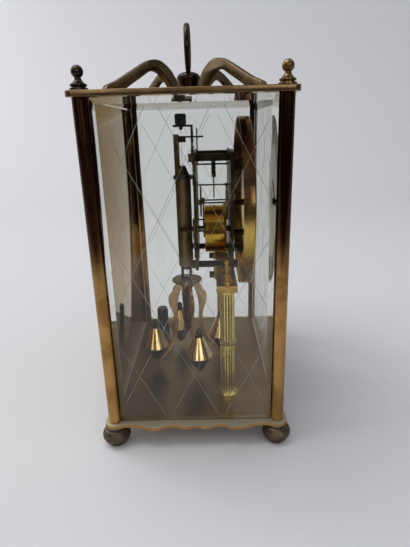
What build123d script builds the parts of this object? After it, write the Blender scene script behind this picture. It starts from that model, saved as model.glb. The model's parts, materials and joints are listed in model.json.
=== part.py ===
"""Torsion pendulum table clock in a four-glass case, in millimetres.

The origin is on the table, midway between the four feet. +Z is up and the dial faces -Y.
Wheels and arbors turn about axes along Y, the pendulum about an axis along Z.
"""
import os
from math import acos, atan2, cos, degrees, hypot, pi, radians, sin, sqrt

from build123d import *

# Case
post_spacing_x = 136.8
post_spacing_y = 91.4
post_radius = 3.65
tenon_radius = 1.6
tenon_reach = 3.5
foot_radius = 7.85
foot_height = 12.2
foot_sole_radius = 4.5
base_thickness = 2.2
base_lobe = 5.6
base_crest = 7.3
base_ripple = 6.7
base_middle = 5.3
base_dip = 4.4
base_hollow = 3.95
top_thickness = 2.8
top_overhang_x = 7.2
top_overhang_y = 5.1
top_corner_radius = 3.5
top_edge = 0.9
roof_gap = 5.3
fit = 0.05
play = 0.3

# Rods and holes up to this radius are drawn with this many sides
small_radius = 1.7
small_sides = 12

# Glass and door
glass_edge = 1.6
bevel_depth = 1.0
bevel_width = 3.0
groove_depth = 1.2
plate_groove_depth = 0.6
door_thickness = 1.5
door_pin_radius = 0.8
door_pin_length = 1.5
door_pin_inset = 1.4
door_gap = 0.45
door_knob_radius = 2.3
door_knob_length = 4.0
door_knob_inset = 5.6

# Corner finials
finial_ball_radius = 2.7
finial_ring_radius = 4.1
finial_skirt_radius = 3.9
finial_height = 10.5

# Scroll arms, hub and ring on the roof
arm_width = 4.6
arm_bar = 5.7
arm_foot_reach = 67.4
arm_peak_reach = 29.5
arm_peak_height = 18.2
arm_hub_reach = 11.5
hub_cap_radius = 6.3
hub_waist_radius = 4.4
hub_foot_radius = 5.0
hub_height = 11.6
hub_dome = 2.9
ring_radius = 11.4
ring_wire_radius = 1.5
ring_sides = 8
ring_seat = 1.0

# Columns and bridge
column_x = 42.0
column_y = -19.35
column_radius = 4.35
column_band_height = 32.2
column_band = 3.4
column_foot_radius = 6.0
column_foot_height = 1.8
flute_count = 14
flute_depth = 0.7
bridge_width = 11.8
bridge_thickness = 4.2
bridge_clearance = 1.8
bridge_overhang = 6.0
bridge_chamfer = 0.5
column_nut_radius = 3.4
column_nut_height = 14.0

# Stop post that stands on the floor near the far corner
stop_post_x = 45.0
stop_post_y = 29.0
stop_post_radius = 4.4
stop_post_height = 21.0

# Movement frame
plate_width = 54.0
plate_height = 69.0
plate_thickness = 1.6
plate_gap = 19.7
back_plate_y = -1.5
plate_corner = 3.0
plate_drop = 36.9
plate_inset = 6.0
pillar_edge = 3.0
pillar_radius = 2.0
pillar_tenon_radius = 1.1
pillar_nut_radius = 2.6
pillar_nut_height = 2.4
saddle_width = 6.0
saddle_lip = 1.2
saddle_screw_radius = 2.1
saddle_screw_length = 2.7
saddle_screw_stem = 1.0

# Where the arbors stand: the centre above the floor of the case, the others from it
dial_height = 111.3
barrel_x = -10.5
barrel_drop = 14.3
second_angle = 8.0
anchor_distance = 12.59

# Going train
great_teeth = 72
second_leaves = 8
great_module = 0.43
second_teeth = 64
third_leaves = 8
second_module = 0.36
third_teeth = 64
centre_leaves = 8
third_module = 0.33
centre_teeth = 72
escape_leaves = 6
centre_module = 0.29
escape_teeth = 20
escape_radius = 8.2
tooth_share = 0.43
leaf_share = 0.33
wheel_thickness = 0.9
wheel_rim = 1.2
arbor_radius = 0.5
pivot_radius = 0.35
end_shake = 0.1
third_wheel_gap = 1.4
second_wheel_gap = 0.8
centre_wheel_gap = 1.8
escape_wheel_set = 10.0
spoke_width = 1.3
spoke_turn = 20.0

# Barrel and winding work
drum_radius = 14.5
drum_length = 11.3
drum_wall = 0.7
drum_gap = 0.4
great_wheel_thickness = 1.6
barrel_arbor_radius = 1.9
winding_square = 2.6
winding_reach = 9.6
spring_strip = 0.5
spring_pack = 3.4
ratchet_teeth = 20
ratchet_radius = 6.5
ratchet_tooth = 1.0
ratchet_thickness = 1.4
click_drop = 10.0
click_side = -3.0
click_angle = 305.0
click_thickness = 1.2
click_stud_radius = 0.9

# Motion work, dial and hands
cannon_teeth = 12
minute_teeth = 36
minute_leaves = 10
hour_teeth = 40
motion_distance = 7.4
motion_thickness = 0.8
cannon_radius = 1.25
hour_pipe_radius = 2.0
dial_radius = 51.2
dial_wall = 0.6
dial_face = 0.9
dial_depth = 6.2
dial_back_gap = 3.9
motion_gap = 0.5
hour_wheel_gap = 0.4
hour_hand_gap = 1.6
hands_gap = 1.2
dial_foot_radius = 2.3
dial_foot_x = 20.5
dial_foot_z = 24.0
dial_rim = 1.4
dial_rim_height = 0.5
dial_ring_outer = 48.0
dial_ring_inner = 34.7
dial_ring_height = 0.25
minute_hand_length = 41.0
minute_hand_tail = 8.0
minute_hand_width = 2.4
minute_hand_hub = 2.6
hour_hand_length = 28.0
hour_hand_tail = 6.0
hour_hand_width = 3.0
hour_hand_hub = 3.2
hand_thickness = 0.4
hand_nut_radius = 1.9
hand_nut_length = 1.9
shown_hour = 10
shown_minute = 9

# Suspension
axis_y = 5.7
bracket_rise = 13.8
bracket_thickness = 1.2
bracket_width = 12.0
bracket_reach = 4.4
bracket_window = 7.4
bracket_window_height = 7.0
bracket_foot = 8.0
knob_radius = 3.4
knob_height = 6.3
knob_ridges = 18
knob_ridge = 0.35
knob_stem_radius = 1.1
ribbon_width = 0.9
ribbon_thickness = 0.16
ribbon_grip = 1.6
fork_drop = 4.1
fork_thickness = 1.0
fork_gap = 0.1
fork_tine = 0.9
fork_reach = 13.4
fork_block = 5.4
fork_block_height = 2.6
fork_block_width = 3.0
pin_radius = 0.4
pin_over = 5.0
anchor_nib = 0.5
anchor_clearance = 0.14
anchor_thickness = 2.6

# Guard round the suspension
guard_radius = 4.8
guard_wall = 0.6
guard_gap = 1.3
guard_drop = 14.4
shell_gap = 4.2
guard_flange_thickness = 2.4
guard_flange_width = 7.0
guard_foot_height = 6.0
guard_bore = 1.1
guard_cone_height = 5.6

# Torsion pendulum
hook_leg = 2.7
hook_wire = 0.9
hook_rise = 8.4
hook_clamp = 4.4
hook_clamp_radius = 1.3
disc_radius = 10.0
disc_height = 59.2
disc_thickness = 1.6
tube_radius = 3.4
tube_bottom = 24.5
collar_step = 1.2
collar_height = 3.5
arm_sheet = 1.6
arm_count = 4
arm_turn = 18.4
weight_reach = 23.7
weight_radius = 8.8
weight_mid = 15.7
weight_rise = 13.3
weight_drop = 10.2
weight_neck = 2.7
weight_finial = 5.8
weight_stud_radius = 0.9
weight_foot_radius = 2.2
weight_nut_radius = 1.6
weight_nut_height = 1.4
arm_pad = 1.6
arm_pad_radius = 2.4

# Levels and planes that follow
floor_z = foot_height + base_thickness
centre_z = floor_z + dial_height
plate_bottom = centre_z - plate_drop
plate_top = plate_bottom + plate_height
shelf_z = plate_top + bracket_rise
knob_z = shelf_z + bracket_thickness
post_length = knob_z + knob_height + roof_gap - floor_z
ceiling_z = floor_z + post_length
roof_z = ceiling_z + top_thickness
half_x = post_spacing_x / 2
half_y = post_spacing_y / 2
corners = [(sx * half_x, sy * half_y) for sx in (1, -1) for sy in (1, -1)]
column_height = dial_height - plate_drop - bridge_clearance - bridge_thickness
bridge_z = floor_z + column_height
bridge_top = bridge_z + bridge_thickness
back_inner_y = back_plate_y - plate_thickness
front_inner_y = back_inner_y - plate_gap
front_plate_y = front_inner_y - plate_thickness
dial_back_y = front_plate_y - dial_back_gap
dial_front_y = dial_back_y - dial_depth
pillar_x = plate_width / 2 - plate_inset
pillar_low = plate_bottom + pillar_edge
pillar_high = plate_top - pillar_edge
ribbon_top = shelf_z - ribbon_grip
fork_z = ribbon_top - fork_drop
disc_z = floor_z + disc_height
stirrup_z = disc_z + disc_thickness + hook_rise
ribbon_bottom = stirrup_z + hook_clamp
guard_z = stirrup_z + guard_gap
guard_top_z = plate_top - guard_drop

# Radii and places of the wheels
great_pitch = great_module * great_teeth / 2
second_pitch = second_module * second_teeth / 2
third_pitch = third_module * third_teeth / 2
centre_pitch = centre_module * centre_teeth / 2


def leaf_pitch(module, leaves):
    return module * leaves / 2


def polar(origin, radius, angle):
    """Point at a radius and an angle in degrees from a point of the XZ plane."""
    return (origin[0] + radius * cos(radians(angle)), origin[1] + radius * sin(radians(angle)))


def heading(start, end):
    """Angle in degrees of the line from one point of the XZ plane to another."""
    return degrees(atan2(end[1] - start[1], end[0] - start[0]))


def third_corner(first, first_side, second, second_side):
    """Corner of a triangle on two known points, to the right of the line between them."""
    base = hypot(second[0] - first[0], second[1] - first[1])
    along = (first_side**2 - second_side**2 + base**2) / (2 * base)
    off = sqrt(first_side**2 - along**2)
    foot = polar(first, along, heading(first, second))
    return polar(foot, off, heading(first, second) - 90)


centre_at = (0.0, centre_z)
barrel_at = (barrel_x, centre_z - barrel_drop)
second_at = polar(barrel_at, great_pitch + leaf_pitch(great_module, second_leaves), second_angle)
third_at = third_corner(
    second_at,
    second_pitch + leaf_pitch(second_module, third_leaves),
    centre_at,
    third_pitch + leaf_pitch(third_module, centre_leaves),
)
escape_at = polar(centre_at, centre_pitch + leaf_pitch(centre_module, escape_leaves), 90)
anchor_at = polar(escape_at, anchor_distance, 90)
minute_at = polar(centre_at, motion_distance, 90)
click_at = (barrel_at[0] + click_side, barrel_at[1] - click_drop)

# Layers of the wheels, each the rear face
third_wheel_y = back_inner_y - third_wheel_gap
second_wheel_y = third_wheel_y - wheel_thickness - second_wheel_gap
drum_y = second_wheel_y - wheel_thickness - drum_gap
great_wheel_y = drum_y - drum_length
centre_wheel_y = front_inner_y + centre_wheel_gap
escape_wheel_y = back_inner_y - escape_wheel_set
ratchet_y = back_plate_y + ratchet_thickness + end_shake
motion_y = front_plate_y - motion_gap
hour_wheel_y = motion_y - motion_thickness - hour_wheel_gap
hour_hand_y = dial_front_y - hour_hand_gap
minute_hand_y = hour_hand_y - hand_thickness - hands_gap


def rod_section(radius):
    """Section of a rod, which a hole_section of the same radius lets turn."""
    return Circle(radius) if radius > small_radius else RegularPolygon(radius, small_sides)


def hole_section(radius):
    """Section of a hole, nowhere narrower than its radius."""
    if radius > small_radius:
        return Circle(radius)
    return RegularPolygon(radius, small_sides, major_radius=False)


def across_y(at, rear):
    """Plane that looks towards the dial, at a point of the XZ plane."""
    return Plane(origin=(at[0], rear, at[1]), x_dir=(1, 0, 0), z_dir=(0, -1, 0))


def rod_y(radius, rear, length, at):
    """Rod along Y, from its rear face towards the dial."""
    return extrude(across_y(at, rear) * rod_section(radius), amount=length)


def pipe_y(radius, inner, rear, length, at):
    """Pipe along Y, from its rear face towards the dial."""
    return extrude(across_y(at, rear) * (Circle(radius) - Circle(inner)), amount=length)


def bored_y(part, radius, at):
    """A piece with a hole along Y right through the movement and the dial."""
    depth = 2 * post_spacing_y
    return part - extrude(across_y(at, depth / 2) * hole_section(radius), amount=depth)


def rod_z(radius, low, height, at=(0, 0)):
    return Pos(at[0], at[1], low) * extrude(rod_section(radius), amount=height)


def hole_z(radius, low, height, at=(0, 0)):
    return Pos(at[0], at[1], low) * extrude(hole_section(radius), amount=height)


def slab_y(sketch, rear, thickness, at=(0, 0)):
    """Flat piece drawn in X and Z, from its rear face towards the dial."""
    return extrude(across_y(at, rear) * sketch, amount=thickness)


def turned(points, at=(0, 0, 0)):
    """Solid of revolution about a vertical line, from (radius, height) points."""
    outline = make_face(Plane.XZ * Polyline(*points, close=True))
    return Pos(*at) * revolve(outline, Axis.Z)


def turned_y(points, at):
    """Solid of revolution about a line along Y, from (radius, y) points."""
    outline = make_face(Polyline(*points, close=True))
    return Pos(at[0], 0, at[1]) * revolve(outline, Axis.Y)


def group(parts):
    return Compound(children=list(parts))


def on_corners(part):
    return group([Pos(x, y, 0) * part for x, y in corners])


def s_curve(start, end, along, share=0.5):
    """Two tangent arcs whose ends run the same way; they meet at a share of the chord."""
    meet = Vector(*start) + (Vector(*end) - Vector(*start)) * share
    way = Vector(*along)
    return [TangentArc(start, meet, tangent=way), TangentArc(end, meet, tangent=-way)]


def ball(radius, level, start, bands=4):
    """Profile points of a ball from an angle up to its top."""
    step = (90 - start) / bands
    points = [polar((0, level), radius, start + step * band) for band in range(bands)]
    return points + [(0, level + radius)]


# Case


def scallop(half_length, half_width):
    """Crests and hollows along one side of the base, from its middle to the lobe at the post."""
    waves = [(0, base_middle), (0.12, base_ripple), (0.3, base_dip), (0.48, base_crest), (0.84, base_hollow)]
    return [(half_length * share, half_width + rise) for share, rise in waves]


def base_outline():
    """Waved edge of tangent arcs, worked out for a quarter of the plate and mirrored."""
    side = [(reach, along) for along, reach in scallop(half_y, half_x)] + [(half_x + base_lobe, half_y)]
    front = scallop(half_x, half_y) + [(half_x, half_y + base_lobe)]
    arcs = []
    for start, end in zip(side, side[1:]):
        arcs += s_curve(start, end, (0, 1))
    for start, end in zip(front, front[1:]):
        arcs += s_curve(start, end, (1, 0))
    diagonal = base_lobe * sin(pi / 4)
    arcs.append(ThreePointArc(side[-1], (half_x + diagonal, half_y + diagonal), front[-1]))
    quarter = Curve() + arcs
    half = quarter + mirror(quarter, Plane.YZ)
    return half + mirror(half, Plane.XZ)


def base_plate():
    plate = Pos(0, 0, foot_height) * extrude(make_face(base_outline()), amount=base_thickness)
    plate -= on_corners(hole_z(tenon_radius + fit, 0, 2 * floor_z))
    plate -= glass_grooves(floor_z - plate_groove_depth / 2)
    return plate - door_pin_holes()


def glass_grooves(level):
    """Shallow seats for the edges of the three panes in the base and under the roof."""
    width = glass_edge + 4 * fit
    inset = 2 * (post_radius - groove_depth)
    side = Box(width, post_spacing_y - inset, plate_groove_depth)
    front = Box(post_spacing_x - inset, width, plate_groove_depth)
    return group(
        [Pos(-half_x, 0, level) * side, Pos(half_x, 0, level) * side, Pos(0, -half_y, level) * front]
    )


def door_axis():
    return (half_x - post_radius - door_gap - door_pin_inset, half_y)


def door_pin_holes():
    depth = door_pin_length + fit
    low = hole_z(door_pin_radius + fit, floor_z - depth, depth, door_axis())
    high = hole_z(door_pin_radius + fit, ceiling_z, depth, door_axis())
    return group([low, high])


def bun_foot():
    """Flattened bun with a short collar under the plate."""
    collar = foot_sole_radius + 0.7
    profile = [
        (0, 0),
        (foot_sole_radius, 0),
        (foot_radius, foot_height * 0.4),
        (foot_radius, foot_height * 0.56),
        (collar, foot_height * 0.88),
        (collar, foot_height),
        (0, foot_height),
    ]
    socket = tenon_reach + fit
    return turned(profile) - hole_z(tenon_radius + fit, foot_height - socket, socket)


def corner_post(corner):
    """Post with a tenon at each end and a groove for each pane that it holds."""
    sx = 1 if corner[0] > 0 else -1
    sy = 1 if corner[1] > 0 else -1
    low = floor_z - base_thickness - tenon_reach
    high = roof_z + tenon_reach
    post = rod_z(post_radius, floor_z, post_length) + rod_z(tenon_radius, low, high - low)
    width = glass_edge + 4 * fit
    middle = floor_z + post_length / 2
    reach = post_radius - groove_depth / 2
    post -= Pos(0, -sy * reach, middle) * Box(width, groove_depth, post_length)
    if sy < 0:
        post -= Pos(-sx * reach, 0, middle) * Box(groove_depth, width, post_length)
    return Pos(corner[0], corner[1], 0) * post


def corner_finial():
    """Two rings, a bell skirt, a neck and a ball, bored for the post's tenon."""
    neck = finial_ball_radius * 0.42
    start = -degrees(acos(neck / finial_ball_radius))
    profile = [
        (0, 0),
        (finial_ring_radius, 0),
        (finial_ring_radius, 1.0),
        (finial_ring_radius - 0.8, 1.4),
        (finial_skirt_radius, 1.8),
        (finial_skirt_radius, 2.7),
        (neck + 0.6, 4.3),
    ]
    profile += ball(finial_ball_radius, finial_height - finial_ball_radius, start)
    return Pos(0, 0, roof_z) * (turned(profile) - hole_z(tenon_radius + fit, 0, tenon_reach + fit))


def top_plate():
    width = post_spacing_x + 2 * top_overhang_x
    depth = post_spacing_y + 2 * top_overhang_y
    plate = extrude(RectangleRounded(width, depth, top_corner_radius), amount=top_thickness)
    plate = Pos(0, 0, ceiling_z) * chamfer(plate.faces().filter_by(Axis.Z).edges(), top_edge)
    plate -= on_corners(hole_z(tenon_radius + fit, floor_z, roof_z))
    plate -= glass_grooves(ceiling_z + plate_groove_depth / 2)
    return plate - door_pin_holes()


def pane(width, height):
    """Glass with a bevel on its outer face; the face looks along +Z before it is stood up."""
    edge = extrude(
        Rectangle(width + 2 * groove_depth - 4 * fit, height + 2 * plate_groove_depth - 4 * fit),
        amount=glass_edge,
    )
    taper = degrees(atan2(bevel_width, bevel_depth))
    face = extrude(Rectangle(width - 4 * fit, height - 4 * fit), amount=bevel_depth, taper=taper)
    return Pos(0, 0, -glass_edge / 2) * (edge + Pos(0, 0, glass_edge) * face)


def standing_pane(facing, spacing, at):
    """Pane between two posts, with its outer face along a direction."""
    width = spacing - 2 * post_radius
    x_dir = (-facing[1], facing[0], 0)
    plane = Plane(
        origin=(at[0], at[1], floor_z + post_length / 2),
        x_dir=x_dir,
        z_dir=(facing[0], facing[1], 0),
    )
    return plane * pane(width, post_length)


def rear_door():
    """Polished sheet that hangs on two pins and swings out to the rear."""
    x, y = door_axis()
    hinge_edge = x + door_pin_inset
    free_edge = -half_x + post_radius + door_gap
    width = hinge_edge - free_edge
    height = post_length - 2 * door_gap
    middle = floor_z + post_length / 2
    sheet = Pos((hinge_edge + free_edge) / 2, y, middle) * Box(width, door_thickness, height)
    pins = height + 2 * (door_pin_length + door_gap)
    sheet += rod_z(door_pin_radius, middle - pins / 2, pins, (x, y))
    outer = y + door_thickness / 2
    knob_at = (free_edge + door_knob_inset, middle)
    stem = door_knob_radius * 0.45
    knob = [
        (0, outer),
        (stem, outer),
        (stem, outer + door_knob_length * 0.4),
        (door_knob_radius, outer + door_knob_length * 0.55),
        (door_knob_radius, outer + door_knob_length),
        (0, outer + door_knob_length),
    ]
    return sheet + turned_y(knob, knob_at)


def scroll_arm(angle):
    """Flat bar bent into an S, from a foot near the corner up and over to the hub."""
    peak = (arm_peak_reach, arm_peak_height)
    toe = (arm_foot_reach - 3.9, arm_bar * 0.66)
    heel = (arm_foot_reach - 14.0, 0)
    shoulder = (arm_hub_reach + 10.0, arm_peak_height * 0.78)
    crown = (arm_peak_reach - 1.2, arm_peak_height - arm_bar)
    haunch = (arm_peak_reach - 6.9, crown[1] * 0.77)
    outer = TangentArc(peak, shoulder, tangent=(-1, 0))
    inner = TangentArc(crown, haunch, tangent=(-1, 0))
    hub = (arm_hub_reach, 0)
    hub_inside = (arm_hub_reach + arm_bar, 0)
    arcs = s_curve(peak, toe, (1, 0), 0.62) + s_curve(crown, heel, (1, 0), 0.62)
    arcs += [outer, TangentArc(shoulder, hub, tangent=outer % 1)]
    arcs += [inner, TangentArc(haunch, hub_inside, tangent=inner % 1)]
    arcs += [Polyline(heel, (arm_foot_reach, 0), toe), Line(hub, hub_inside)]
    outline = make_face(Curve() + arcs)
    bar = extrude(Plane.XZ * outline, amount=arm_width / 2, both=True)
    return Pos(0, 0, roof_z) * Rot(0, 0, angle) * bar


def scroll_arms():
    corner_angle = degrees(atan2(half_y, half_x))
    return group(
        [scroll_arm(a) for a in (corner_angle, 180 - corner_angle, 180 + corner_angle, -corner_angle)]
    )


def hub_cap():
    """Turned spool with a shallow dome, which the carrying ring is brazed into."""
    profile = [
        (0, 0),
        (hub_foot_radius, 0),
        (hub_foot_radius, 1.2),
        (hub_waist_radius, hub_height * 0.45),
        (hub_cap_radius, hub_height - 0.8),
        (hub_cap_radius, hub_height),
        (hub_cap_radius * 0.62, hub_height + hub_dome * 0.72),
        (0, hub_height + hub_dome),
    ]
    return turned(profile, (0, 0, roof_z)) - ring_solid()


def ring_level():
    return roof_z + hub_height + hub_dome - ring_seat + ring_radius + ring_wire_radius


def ring_solid():
    wire = Pos(ring_radius, 0) * RegularPolygon(ring_wire_radius, ring_sides)
    return Pos(0, 0, ring_level()) * revolve(wire, Axis.Y)


# Columns and bridge


def fluted_section():
    """Round shaft with flat-bottomed flutes."""
    step = 360 / flute_count
    floor = column_radius - flute_depth
    points = []
    for flute in range(flute_count):
        middle = flute * step
        points.append(polar((0, 0), column_radius, middle - step * 0.36))
        points.append(polar((0, 0), floor, middle - step * 0.18))
        points.append(polar((0, 0), floor, middle + step * 0.18))
        points.append(polar((0, 0), column_radius, middle + step * 0.36))
    return make_face(Polyline(*points, close=True))


def column_shaft():
    """Fluted shaft in two lengths, with a foot, a beaded band and a neck ring."""
    band_low = column_foot_height + column_band_height
    band_high = band_low + column_band
    neck = column_height - 1.5
    shaft = Pos(0, 0, column_foot_height) * extrude(fluted_section(), amount=column_band_height)
    shaft += Pos(0, 0, band_high) * extrude(fluted_section(), amount=neck - band_high)
    foot = [
        (0, 0),
        (column_foot_radius, 0),
        (column_foot_radius, column_foot_height * 0.6),
        (column_foot_radius - 0.9, column_foot_height),
        (0, column_foot_height),
    ]
    shaft += turned(foot)
    bead = column_radius + 0.35
    band = [
        (0, band_low),
        (bead, band_low),
        (bead, band_low + column_band * 0.3),
        (bead - 1.0, band_low + column_band * 0.5),
        (bead, band_low + column_band * 0.7),
        (bead, band_high),
        (0, band_high),
    ]
    shaft += turned(band) + rod_z(column_radius + 0.6, neck, column_height - neck)
    return shaft + rod_z(tenon_radius, neck, column_nut_stud() - neck)


def column_nut_stud():
    """Height above the floor of the stud that the turned nut screws on to."""
    return column_height + bridge_thickness + column_nut_height * 0.4


def on_columns(part):
    return group([Pos(side * column_x, column_y, floor_z) * part for side in (-1, 1)])


def bridge():
    """Bar across the two columns that carries the movement."""
    length = 2 * (column_x + bridge_overhang)
    bar = Box(length, bridge_width, bridge_thickness)
    bar = chamfer(bar.faces().sort_by(Axis.Z)[-1].edges(), bridge_chamfer)
    bar = Pos(0, column_y, bridge_z + bridge_thickness / 2) * bar
    for side in (-1, 1):
        bar -= hole_z(tenon_radius + fit, floor_z, bridge_top, (side * column_x, column_y))
        seat = across_y((side * pillar_x, bridge_z + bridge_thickness / 2), column_y + bridge_width / 2)
        bar -= extrude(seat * hole_section(saddle_screw_stem + fit), amount=bridge_width / 2)
    return bar


def column_nut():
    """Turned nut with a wide ring, three ridges, a waist and a ball."""
    cap = column_nut_radius * 0.5
    waist = column_nut_radius * 0.32
    start = -degrees(acos(waist / cap))
    ridge = column_nut_height * 0.11
    profile = [(0, 0), (column_nut_radius, 0), (column_nut_radius, 1.2)]
    for step in range(3):
        low = 1.2 + ridge * step
        profile.append((column_nut_radius - 1.3, low + ridge * 0.2))
        profile.append((column_nut_radius - 0.7, low + ridge * 0.6))
    profile += ball(cap, column_nut_height - cap, start)
    hole = column_nut_height * 0.4 + fit
    nut = turned(profile) - hole_z(tenon_radius + fit, 0, hole)
    return Pos(0, 0, column_height + bridge_thickness) * nut


def saddle(side):
    """Block on the bridge that cradles a lower pillar and laps over the rear edge."""
    rear = column_y + bridge_width / 2
    front = front_inner_y + play
    depth = rear - front
    height = pillar_low - pillar_radius * 0.4 - bridge_top
    block = Pos(0, rear - depth / 2, bridge_top + height / 2) * Box(saddle_width, depth, height)
    lip_height = height + bridge_thickness
    lip = Box(saddle_width, saddle_lip, lip_height)
    block += Pos(0, rear + saddle_lip / 2, bridge_top + height - lip_height / 2) * lip
    block = bored_y(block, pillar_radius + fit, (0, pillar_low))
    block = bored_y(block, saddle_screw_stem + fit, (0, bridge_z + bridge_thickness / 2))
    return Pos(side * pillar_x, 0, 0) * block


def saddle_screw(side):
    """Knurled clamp screw in the rear face of the bridge."""
    rear = column_y + bridge_width / 2 + saddle_lip
    at = (side * pillar_x, bridge_z + bridge_thickness / 2)
    outline = RegularPolygon(saddle_screw_radius, small_sides)
    head = slab_y(outline, rear + saddle_screw_length, saddle_screw_length, at)
    return head + rod_y(saddle_screw_stem, rear, saddle_lip + bridge_width * 0.4, at)


def stop_post():
    """Post with three grooves that stands on the floor behind the pendulum."""
    wide = stop_post_radius
    step = stop_post_height * 0.13
    points = [(0, 0), (wide, 0)]
    for ridge in range(3):
        low = stop_post_height * 0.48 + step * ridge
        points += [(wide, low), (wide - 0.6, low + step * 0.25), (wide, low + step * 0.5)]
    points += [(wide, stop_post_height), (0, stop_post_height)]
    return turned(points, (stop_post_x, stop_post_y, floor_z))


# Teeth


def toothed(teeth, pitch, module, share, addendum, dedendum, phase):
    """Outline of a wheel or pinion: one flat-topped tooth for each pitch."""
    step = 360 / teeth
    tip = pitch + addendum * module
    root = pitch - dedendum * module
    half_root = step * (0.5 - 0.06)
    half_tip = step * share * 0.25
    points = []
    for tooth in range(teeth):
        middle = phase + tooth * step
        points.append(polar((0, 0), root, middle - half_root))
        points.append(polar((0, 0), tip, middle - half_tip))
        points.append(polar((0, 0), tip, middle + half_tip))
    return make_face(Polyline(*points, close=True))


def wheel_outline(teeth, module, phase):
    return toothed(teeth, module * teeth / 2, module, tooth_share, 0.9, 1.7, phase)


def leaf_outline(leaves, module, phase):
    """Pinion with narrow leaves, so that the coarse teeth of the wheel clear them."""
    pitch = leaf_pitch(module, leaves)
    step = 360 / leaves
    points = []
    for leaf in range(leaves):
        middle = phase + leaf * step
        points.append(polar((0, 0), pitch - 1.3 * module, middle - step * 0.32))
        points.append(polar((0, 0), pitch + 0.1 * module, middle - step * leaf_share / 2))
        points.append(polar((0, 0), pitch + 0.6 * module, middle))
        points.append(polar((0, 0), pitch + 0.1 * module, middle + step * leaf_share / 2))
        points.append(polar((0, 0), pitch - 1.3 * module, middle + step * 0.32))
    return make_face(Polyline(*points, close=True))


def crossings(inner, outer, spokes, phase):
    """Windows that leave straight spokes between the hub and the rim."""
    ring = Circle(outer) - Circle(inner)
    bars = Sketch()
    for spoke in range(spokes):
        bar = Pos(outer / 2, 0) * Rectangle(outer * 1.2, spoke_width)
        bars += Rot(0, 0, phase + spoke * 360 / spokes) * bar
    return ring - bars


def crossed_wheel(teeth, module, phase, rear, at, bore, spokes=4):
    outline = wheel_outline(teeth, module, phase)
    rim_inner = module * teeth / 2 - 1.7 * module - wheel_rim
    outline -= crossings(bore + 1.6, rim_inner, spokes, phase + spoke_turn)
    outline -= rod_section(bore)
    return slab_y(outline, rear, wheel_thickness, at)


def arbor(at, leaves, module, phase, pinion_rear, pinion_length, front_reach=0):
    """Staff with a leaf pinion and a pivot at each end, from plate to plate."""
    rear = back_inner_y - end_shake
    front = front_inner_y + end_shake
    staff = rod_y(arbor_radius, rear, rear - front, at)
    pivot = end_shake + plate_thickness * 0.75
    staff += rod_y(pivot_radius, rear + pivot, pivot, at)
    staff += rod_y(pivot_radius, front, pivot + front_reach, at)
    return staff + slab_y(leaf_outline(leaves, module, phase), pinion_rear, pinion_length, at)


# Phases that put a tooth of each wheel opposite a gap of the pinion that it drives
great_phase = heading(barrel_at, second_at)
second_leaf_phase = great_phase + 180 + 180 / second_leaves
second_phase = heading(second_at, third_at)
third_leaf_phase = second_phase + 180 + 180 / third_leaves
third_phase = heading(third_at, centre_at)
centre_leaf_phase = third_phase + 180 + 180 / centre_leaves
centre_phase = heading(centre_at, escape_at)
escape_leaf_phase = centre_phase + 180 + 180 / escape_leaves
motion_phase = heading(centre_at, minute_at)


# Movement frame


def plate_outline(height_low, height_high):
    width = plate_width
    middle = (height_low + height_high) / 2
    return Pos(0, middle) * RectangleRounded(width, height_high - height_low, plate_corner)


def pivot_holes():
    """Holes that both plates share, as (radius, place)."""
    holes = [(pivot_radius + fit, at) for at in (second_at, third_at, escape_at, anchor_at)]
    holes += [(pillar_tenon_radius + fit, at) for at in pillar_places()]
    holes.append((barrel_arbor_radius + fit, barrel_at))
    return holes


def pillar_places():
    return [(side * pillar_x, level) for side in (-1, 1) for level in (pillar_low, pillar_high)]


def drilled(outline, holes):
    for radius, at in holes:
        outline -= Pos(at[0], at[1]) * hole_section(radius)
    return outline


def back_plate():
    """Rear plate, with the click's stud riveted in."""
    holes = pivot_holes() + [(pivot_radius + fit, centre_at)]
    plate = slab_y(drilled(plate_outline(plate_bottom, plate_top), holes), back_plate_y, plate_thickness)
    stud = click_thickness + 3 * end_shake
    plate += rod_y(click_stud_radius, back_plate_y + stud, stud, click_at)
    return plate + rod_y(click_stud_radius + 0.8, back_plate_y + stud + 0.6, 0.6, click_at)


def front_plate():
    """Front plate, with the stud of the minute wheel riveted in."""
    holes = pivot_holes() + [(arbor_radius + fit, centre_at)]
    holes += [(dial_foot_radius * 0.5 + fit, at) for at in dial_foot_places()]
    plate = slab_y(drilled(plate_outline(plate_bottom, plate_top), holes), front_inner_y, plate_thickness)
    stud = hour_wheel_y - motion_thickness - end_shake
    return plate + rod_y(pivot_radius * 2, front_plate_y, front_plate_y - stud, minute_at)


def pillar(at):
    """Turned pillar with a shoulder at each plate and ends that reach through the plates."""
    body = rod_y(pillar_radius, back_inner_y, plate_gap, at)
    return body + rod_y(pillar_tenon_radius, back_plate_y, plate_gap + 2 * plate_thickness, at)


def pillar_nut(at, rear):
    """Hexagonal cap nut on one end of a pillar."""
    return slab_y(RegularPolygon(pillar_nut_radius, 6), rear, pillar_nut_height, at)


def pillar_nuts():
    rears = (back_plate_y + pillar_nut_height, front_plate_y)
    return group([pillar_nut(at, rear) for at in pillar_places() for rear in rears])


# Barrel and winding work


def barrel_bore(part):
    return bored_y(part, barrel_arbor_radius + fit, barrel_at)


def great_wheel():
    outline = wheel_outline(great_teeth, great_module, great_phase)
    return barrel_bore(slab_y(outline, great_wheel_y, great_wheel_thickness, barrel_at))


def barrel_drum():
    """Open drum against the great wheel, with its cap at the rear."""
    inner = drum_radius - drum_wall
    return pipe_y(drum_radius, inner, drum_y - drum_wall, drum_length - drum_wall, barrel_at)


def barrel_cap():
    return barrel_bore(rod_y(drum_radius, drum_y, drum_wall, barrel_at))


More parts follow.
